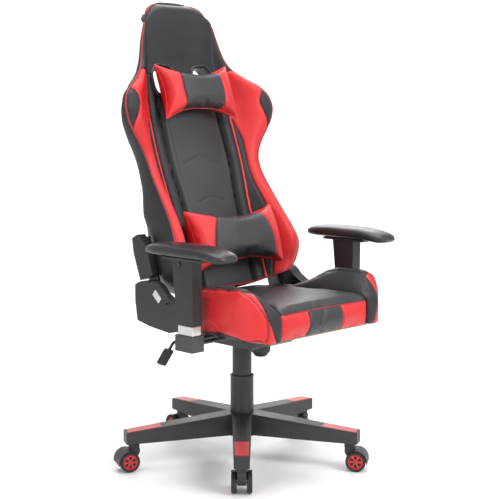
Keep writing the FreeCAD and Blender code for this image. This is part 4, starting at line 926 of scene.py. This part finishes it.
def seat_centre():
    mesh = remeshed("seat_cushion", 0.005, 6)
    centre = mesh_points(mesh)
    low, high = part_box("seat_cushion")
    mesh = inflated(mesh, 4.0, 0.010)
    p = mesh_points(mesh)
    ripple = np.array([0.0012 * math.sin(31 * x + 3 * math.sin(17 * y)) * math.sin(23 * y + 9 * x)
                       for x, y, z in p])
    top = ease((p[:, 2] - 0.44) / 0.02)
    p[:, 2] += ripple * top + 0.004 * top * (1 - (p[:, 0] / 0.165) ** 2)
    p[:, 0] = np.clip(p[:, 0], -0.1675, 0.1675)
    p[:, 1] = np.clip(p[:, 1], low.y - 0.006, high.y + 0.002)
    p[:, 2] = np.clip(p[:, 2], low.z + 0.001, high.z + 0.008)
    set_points(mesh, p)
    pad = Upholstery(mesh)

    def front(p):
        return (p[:, 1] < -0.262) & (p[:, 2] > 0.40)

    def lip(p):
        return np.where(front(p) & (np.abs(p[:, 0]) < 0.175), p[:, 2] - 0.4635, np.nan)

    def strip(p):
        return np.where(front(p) & (p[:, 2] < 0.4635 + 1e-6),
                        np.abs(p[:, 0]) - 0.064 + 0.06 * (p[:, 2] - 0.43), np.nan)

    pad.cut(lip, 0.003, 0.0035, piping=("piping_red", 0.0016))
    pad.cut(strip, 0.0028, 0.0035, thread=("thread_black", (-0.004,)))
    pad.sink()

    def red(p):
        return ((p[:, 1] < -0.262) & (p[:, 2] < 0.4635) & (p[:, 2] > 0.398)
                & (np.abs(p[:, 0]) > 0.064 - 0.06 * (p[:, 2] - 0.43)))

    # The seat centre is black leather shown with the lighter copy of its finish, a painted
    # highlight.
    black = pad.piece("seat_skin_centre", lambda p: ~red(p), "seat", "leather_black",
                      "leather_grey")
    panels = pad.piece("seat_skin_front_panels", red, "seat", "leather_red")
    pad.trimmings("seat_centre", "seat")
    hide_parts("seat_cushion")


def seat_side(name, side):
    node_name = "seat_bolster_" + name
    low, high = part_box(node_name)
    mesh = remeshed(node_name, 0.005, 8)
    mesh = inflated(mesh, 4.0, 0.008)
    p = mesh_points(mesh)
    flank = np.abs(p[:, 0])
    if side > 0:
        p[:, 0] = np.clip(p[:, 0], 0.162, 0.266)
    else:
        p[:, 0] = np.clip(p[:, 0], -0.266, -0.162)
    behind = p[:, 1] > -0.062
    limit = np.where(behind, 0.2125, 0.266)
    p[:, 0] = np.sign(p[:, 0]) * np.minimum(np.abs(p[:, 0]), limit)
    p[:, 1] = np.clip(p[:, 1], low.y - 0.006, high.y + 0.002)
    p[:, 2] = np.clip(p[:, 2], low.z + 0.0008, high.z + 0.006)
    set_points(mesh, p)
    pad = Upholstery(mesh)

    def outer(p):
        return np.where(p[:, 2] > 0.40, np.abs(p[:, 0]) - crest_outer(p[:, 1]), np.nan)

    def inner(p):
        wanted = (p[:, 2] > 0.402) & (p[:, 1] < -0.02)
        return np.where(wanted, np.abs(p[:, 0]) - nose_inner(p), np.nan)

    def cross(p):
        ax = np.abs(p[:, 0])
        wanted = (ax > nose_inner(p) - 1e-6) & (ax < crest_outer(p[:, 1]) + 1e-6)
        return np.where(wanted & (p[:, 2] > 0.46), p[:, 1] - NOSE_START - 0.35 * (ax - 0.23),
                        np.nan)

    pad.cut(outer, 0.003, 0.0035, piping=("piping_red", 0.0018),
            thread=("thread", (0.0045,)))
    pad.cut(inner, 0.003, 0.0035, thread=("thread_black", (-0.004,)))
    pad.cut(cross, 0.002, 0.003)
    pad.sink()

    def red(p):
        ax = np.abs(p[:, 0])
        nose = (p[:, 1] < NOSE_START + 0.35 * (ax - 0.23)) & (ax > nose_inner(p))
        return ((ax > crest_outer(p[:, 1])) | nose) & (p[:, 2] > 0.3985)

    black = pad.piece("seat_skin_side_black_" + name, lambda p: ~red(p), "seat",
                      "leather_black")
    flank = pad.piece("seat_skin_side_red_" + name, red, "seat", "leather_red")
    pad.trimmings("seat_side_" + name, "seat")
    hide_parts(node_name)


# --------------------------------------------------------------------------- pillows

def pillow_case(half, low, high, thick, flare, pinch, columns=66, rows=40):
    """Two sewn sheets with pointed corners, ready to be filled."""
    middle, rise = (low + high) / 2, (high - low) / 2
    xi = np.linspace(-1, 1, columns)
    eta = np.linspace(-1, 1, rows)
    swell = 0.42
    front, rear = [], []
    for v in eta:
        for u in xi:
            x = u * (half - pinch * (1 - v * v))
            s = middle + v * (rise - flare * (1 - abs(u) ** 2.2))
            depth = swell * thick * ((1 - abs(u) ** 3.2) * (1 - abs(v) ** 2.6)) ** 0.55
            front.append((x, -0.5 * thick - 0.5 * depth, s))
            rear.append((x, -0.5 * thick + 0.5 * depth, s))
    points = list(front)
    faces = []
    other = {}
    for j in range(rows):
        for i in range(columns):
            k = j * columns + i
            if i in (0, columns - 1) or j in (0, rows - 1):
                other[k] = k
            else:
                other[k] = len(points)
                points.append(rear[k])
    for j in range(rows - 1):
        for i in range(columns - 1):
            a = j * columns + i
            b, c, d = a + 1, a + 1 + columns, a + columns
            faces.append((a, b, c, d))
            faces.append((other[a], other[d], other[c], other[b]))
    border = [i for i in range(columns)]
    border += [j * columns + columns - 1 for j in range(1, rows)]
    border += [(rows - 1) * columns + i for i in range(columns - 2, -1, -1)]
    border += [j * columns for j in range(rows - 2, 0, -1)]
    return mesh_from(points, faces), border


def make_pillow(name, half, low, high, thick, flare, pinch, split, body, seam_width):
    mesh, border = pillow_case(half, low, high, thick, flare, pinch)
    before = mesh_points(mesh)
    mesh = inflated(mesh, 5.0, 0.030, tension=9.0, bending=0.15)
    p = mesh_points(mesh)
    p[:, 0] *= half / np.abs(p[:, 0]).max()
    middle = (low + high) / 2
    p[:, 2] = middle + (p[:, 2] - middle) * (high - low) / np.ptp(p[:, 2])
    depth = p[:, 1] - p[:, 1].mean()
    depth *= 1.12 * thick / np.ptp(depth)
    p[:, 1] = -0.5 * thick + depth
    rest = -0.002
    p[:, 1] = np.where(p[:, 1] > rest - 0.004, rest - 0.004 * np.exp(-(p[:, 1] - rest + 0.004)
                                                                 / 0.006), p[:, 1])
    p[:, 1] = np.maximum(p[:, 1], -thick - 0.004)
    set_points(mesh, p)
    pad = Upholstery(mesh, leaned)
    pad.bm.verts.ensure_lookup_table()
    border = [pad.bm.verts[i] for i in border]
    pad.seams.append({"runs": [(border, True)], "depth": 0.0012, "width": 0.003,
                      "thread": None, "piping": ("leather_red", 0.0013), "inset": 0})

    def seam(p):
        share = np.clip((p[:, 2] - middle) / ((high - low) / 2), -1, 1)
        return np.abs(p[:, 0]) - split(share)

    pad.cut(seam, 0.0035, 0.0035, thread=("thread", (0.0038,)))
    pad.sink()
    red = pad.piece(name + "_red", lambda p: seam(p) > 0, body, "leather_red")
    # The pillow's black side takes the lighter black-leather copy as a painted highlight.
    black = pad.piece(name + "_black", lambda p: seam(p) <= 0, body, "leather_black",
                      "leather_grey")
    pad.trimmings(name, body)
    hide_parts(name)


# -------------------------------------------------------------------------- arm pads

def arm_pad(name, side):
    low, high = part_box("arm_pad_" + name)
    centre = (low.x + high.x) / 2
    length = high.y - low.y
    half = smooth_curve(((0.0, 0.017), (0.015, 0.028), (0.05, 0.036), (0.16, 0.042),
                         (0.5, 0.044), (0.80, 0.041), (0.94, 0.033), (0.985, 0.024),
                         (1.0, 0.013)))
    top = smooth_curve(((0.0, 0.6130), (0.015, 0.6195), (0.05, 0.6250), (0.15, 0.6315),
                        (0.35, 0.6378), (0.62, 0.6383), (0.85, 0.6352), (0.95, 0.6295),
                        (0.985, 0.6240), (1.0, 0.6170)))
    under = smooth_curve(((0.0, 0.6080), (0.015, 0.6025), (0.06, 0.5995), (0.14, 0.6015),
                          (0.24, 0.6046), (0.85, 0.6046), (0.95, 0.6065), (0.985, 0.6095),
                          (1.0, 0.6150)))
    rings = []
    places = 0.5 - 0.5 * np.cos(np.linspace(0, math.pi, 64))
    for t in places:
        y = low.y + t * length
        w, zt, zb = float(half(t)), float(top(t)), float(under(t))
        mid = zb + 0.42 * (zt - zb)
        ring = []
        for k in range(40):
            a = 2 * math.pi * k / 40
            c, s = math.cos(a), math.sin(a)
            power = 2 / 3.0 if s > 0 else 2 / 3.6
            px = w * math.copysign(abs(c) ** (2 / 2.6), c)
            reach = (zt - mid) if s > 0 else (mid - zb)
            pz = mid + reach * math.copysign(abs(s) ** power, s)
            ring.append((centre + px, y, pz))
        rings.append(ring)
    points, faces = loop_grid(rings)
    pad = add_object("arm_pad_foam_" + name, mesh_from(points, faces), "pad_" + name,
                     "soft_pad")
    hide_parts("arm_pad_" + name)


# ---------------------------------------------------------------------------- wheels

def lathe(profile, centre, axis, steps=72):
    """Solid of revolution; the profile is (radius, along) pairs, ends on the axis."""
    axis = Vector(axis).normalized()
    side = axis.cross(Vector((0, 0, 1))).normalized()
    other = axis.cross(side)
    rings = []
    for radius, along in profile:
        ring = []
        for k in range(steps):
            a = 2 * math.pi * k / steps
            ring.append(Vector(centre) + axis * along + radius * (math.cos(a) * side
                                                                 + math.sin(a) * other))
        rings.append(ring)
    return loop_grid(rings)


def spoke(centre, axis, angle, inner, outer, half, low, high):
    axis = Vector(axis).normalized()
    side = axis.cross(Vector((0, 0, 1))).normalized()
    other = axis.cross(side)
    out = math.cos(angle) * side + math.sin(angle) * other
    across = axis.cross(out)
    rings = []
    for r, h in ((inner, half * 0.8), ((inner + outer) / 2, half * 0.75), (outer, half * 1.5)):
        ring = []
        for w, a in ((-h, low), (h, low), (h, high - 0.0004), (h * 0.7, high),
                     (-h * 0.7, high), (-h, high - 0.0004)):
            ring.append(Vector(centre) + out * r + across * w + axis * a)
        rings.append(ring)
    return loop_grid(rings)


def caster_wheels(number):
    joint = next(j for j in frame["joints"] if j["name"] == "caster_%d_roll" % number)
    centre, axis = Vector(joint["pos_m"]), Vector(joint["axis"])
    tyre, hub = [], []
    for face in (1, -1):
        out = axis * face
        tread = [(0.004, 0.0126), (0.022, 0.0126), (0.0262, 0.0136), (0.0274, 0.0160),
                 (0.0275, 0.0200), (0.0274, 0.0235), (0.0266, 0.0256), (0.0250, 0.0268),
                 (0.0228, 0.0270), (0.0213, 0.0266), (0.0207, 0.0258), (0.0205, 0.0240),
                 (0.004, 0.0240)]
        tyre.append(lathe(tread, centre, out))
        rim = [(0.0156, 0.0236), (0.0158, 0.0258), (0.0168, 0.0264), (0.0192, 0.0264),
               (0.0204, 0.0256), (0.0205, 0.0236)]
        points, faces = lathe(rim, centre, out)
        faces = faces[:-2]
        count = 72
        last = (len(rim) - 1) * count
        faces += [(last + i, last + (i + 1) % count, (i + 1) % count, i)
                  for i in range(count)]
        hub.append((points, faces))
        hub.append(lathe([(0.0002, 0.0236), (0.0062, 0.0236), (0.0064, 0.0258),
                          (0.0054, 0.0266), (0.0030, 0.0270), (0.0002, 0.0271)],
                         centre, out))
        for k in range(6):
            hub.append(spoke(centre, out, k * math.pi / 3, 0.0050, 0.0163, 0.0026, 0.0236,
                             0.0261))
    tyre.append(lathe([(0.0030, -0.0130), (0.0030, 0.0130)], centre, axis, 24))
    wheel = add_object("caster_tyres_%d" % number, gathered(tyre), "wheels_%d" % number,
                       "tyre_black")
    disc = add_object("caster_discs_%d" % number, gathered(hub), "wheels_%d" % number,
                      "red_trim")
    for piece in (wheel, disc):
        piece.data = with_modifier(piece.data.copy(), "WEIGHTED_NORMAL", keep_sharp=False)
    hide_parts("caster_wheels_%d" % number)


# ----------------------------------------------------------------------- strap trims

def strap_trim(side):
    corners = [(side * a, b) for a, b in STRAP_CORNERS]
    path = []
    for (ax, az), (bx, bz) in zip(corners, corners[1:] + corners[:1]):
        for t in np.linspace(0, 1, 14, endpoint=False):
            path.append((ax + (bx - ax) * t, az + (bz - az) * t))
    path = np.array(path)
    middle = path.mean(0)
    for _ in range(10):
        path = 0.5 * path + 0.25 * (np.roll(path, 1, 0) + np.roll(path, -1, 0))
    ahead = np.roll(path, -1, 0) - np.roll(path, 1, 0)
    out = np.stack([ahead[:, 1], -ahead[:, 0]], -1)
    out /= np.linalg.norm(out, axis=1)[:, None]
    if ((path - middle) * out).sum() < 0:
        out = -out
    section = [(0.0035, 0.030), (0.0035, 0.004), (0.004, -0.002), (0.0065, -0.0045),
               (0.0105, -0.0040), (0.0130, 0.0005), (0.0128, 0.006), (0.0075, 0.008),
               (0.0072, 0.030)]
    rings = []
    for (x, s), (ox, os) in zip(path, out):
        rings.append([leaned((x + ox * off, d, s + os * off)) for off, d in section])
    rings.append(rings[0])
    points, faces = loop_grid(rings, capped=False)
    return points, faces


def strap_trims():
    mesh = gathered([strap_trim(1), strap_trim(-1)])
    bm = bmesh.new()
    bm.from_mesh(mesh)
    bmesh.ops.remove_doubles(bm, verts=bm.verts, dist=1e-6)
    bmesh.ops.recalc_face_normals(bm, faces=bm.faces)
    bm.to_mesh(mesh)
    bm.free()
    trim = add_object("strap_opening_rims", mesh, "back", "cover_black")
    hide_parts("strap_trims")


# ------------------------------------------------------------------------ hard parts

SOFT_EDGES = (
    ("star_base", 0.004, "nylon_black"), ("leg_inserts", 0.0012, "red_trim"),
    ("side_covers", 0.005, "cover_black"), ("bracket_covers", 0.004, "cover_black"),
    ("arm_sleeve_left", 0.005, "nylon_black"), ("arm_sleeve_right", 0.005, "nylon_black"),
    ("arm_brackets", 0.004, "black_steel"), ("arm_posts", 0.0025, "silver_steel"),
    ("arm_pad_plate_left", 0.002, "nylon_black"), ("arm_pad_plate_right", 0.002, "nylon_black"),
    ("recline_lever", 0.003, "cover_black"), ("recline_lever_cap", 0.0015, "silver_steel"),
    ("mechanism_housing", 0.004, "black_steel"), ("seat_plate", 0.0015, "black_steel"),
    ("lever_grip", 0.004, "nylon_black"),
)
PLAIN_FINISH = {
    "caster_stems": "steel", "stand_tube": "black_steel", "guide_bush": "nylon_black",
    "thrust_bearing_and_clip": "steel", "dust_cover_lower": "nylon_black",
    "dust_cover_middle": "nylon_black", "dust_cover_upper": "nylon_black",
    "piston_rod": "steel", "pressure_cylinder": "black_steel", "tilt_pivot_pin": "steel",
    "tilt_spring": "steel", "lever_bush": "nylon_black", "release_lever": "black_steel",
    "seat_pan": "plywood", "seat_bolts": "black_steel", "hinge_pins": "steel",
    "recliner_lower_brackets": "black_steel", "recliner_upper_brackets": "black_steel",
    "back_frame": "black_steel", "back_bolts": "black_steel",
}


def hard_parts():
    for node_name, width, slot in SOFT_EDGES:
        softened(node_name + "_shown", node_name, width, slot=slot)
    for name, cad in frame["nodes"].items():
        if cad.hide_render:
            continue
        finish = PLAIN_FINISH.get(name)
        if finish is None:
            finish = "tyre_black" if "wheel" in name else "nylon_black"
        for slot in cad.material_slots:
            slot.material = M[finish]


# ---------------------------------------------------------------------------- studio

def studio():
    scene = bpy.context.scene
    floor = bmesh.new()
    rows = [(-6.0, 0.0), (2.2, 0.0), (2.7, 0.06), (3.1, 0.28), (3.4, 0.7), (3.5, 1.3),
            (3.5, 4.5)]
    turn = math.radians(-45.21)
    across = Vector((math.cos(turn), math.sin(turn), 0))
    away = Vector((-math.sin(turn), math.cos(turn), 0))
    last = None
    for distance, height in rows:
        pair = [floor.verts.new(across * w + away * distance + Vector((0, 0, height - 0.0004)))
                for w in (-7, 7)]
        if last:
            floor.faces.new((last[0], last[1], pair[1], pair[0]))
        last = pair
    mesh = bpy.data.meshes.new("floor")
    floor.to_mesh(mesh)
    floor.free()
    for face in mesh.polygons:
        face.use_smooth = True
    sweep = bpy.data.objects.new("studio_floor", mesh)
    scene.collection.objects.link(sweep)
    mat, tree, shader = new_material("studio_floor")
    grain = node(tree, "ShaderNodeTexNoise", Scale=3.0, Detail=3.0)
    tree.links.new(mixed_colour(tree, grain.outputs["Fac"], (0.90, 0.90, 0.905),
                                (0.93, 0.93, 0.935)), shader.inputs["Base Color"])
    shader.inputs["Roughness"].default_value = 0.6
    shader.inputs["Specular IOR Level"].default_value = 0.3
    mesh.materials.append(mat)

    def lamp(name, spot, power, size, colour=(1, 1, 1)):
        data = bpy.data.lights.new(name, "AREA")
        data.energy = power
        data.size = size
        data.color = colour
        made = bpy.data.objects.new(name, data)
        scene.collection.objects.link(made)
        made.location = spot
        aim = Vector((0, 0, 0.6)) - Vector(spot)
        made.rotation_euler = aim.to_track_quat("-Z", "Y").to_euler()

    lamp("key", (0.4, -3.2, 2.6), 80, 1.6)
    lamp("fill", (-3.4, -0.6, 1.6), 22, 1.6)
    lamp("top", (0.2, 0.0, 3.4), 70, 2.2)
    lamp("back", (2.4, 2.2, 2.2), 35, 1.6)
    world = bpy.data.worlds.new("studio")
    world.use_nodes = True
    world.node_tree.nodes["Background"].inputs["Color"].default_value = (1, 1, 1, 1)
    world.node_tree.nodes["Background"].inputs["Strength"].default_value = 0.72
    scene.world = world
    scene.view_settings.view_transform = "Standard"

    data = bpy.data.cameras.new("camera")
    data.sensor_width = 36
    data.lens = 83.69
    camera = bpy.data.objects.new("camera", data)
    scene.collection.objects.link(camera)
    camera.location = (-2.209, -2.222, 0.976)
    camera.rotation_euler = (math.radians(82.913), 0, math.radians(-45.21))
    scene.camera = camera


# -------------------------------------------------------------------------- assembly

studio()
make_back()
seat_centre()
for name, side in SIDES:
    seat_side(name, side)
    arm_pad(name, side)
make_pillow("neck_pillow", 0.136, 0.978, 1.138, 0.078, 0.020, 0.010,
            lambda v: 0.060 + 0.016 * (1 - v * v), "neck", 0.003)
make_pillow("lumbar_pillow", 0.165, 0.548, 0.722, 0.104, 0.012, 0.004,
            lambda v: 0.030 + 0.088 * np.sqrt(1 - np.clip((v + 1) / 2, 0, 1) ** 2.4 + 1e-6),
            "lumbar", 0.003)
for number in range(1, 6):
    caster_wheels(number)
strap_trims()
hard_parts()


def corners(bounds):
    return [list(map(float, corner)) for corner in bounds]
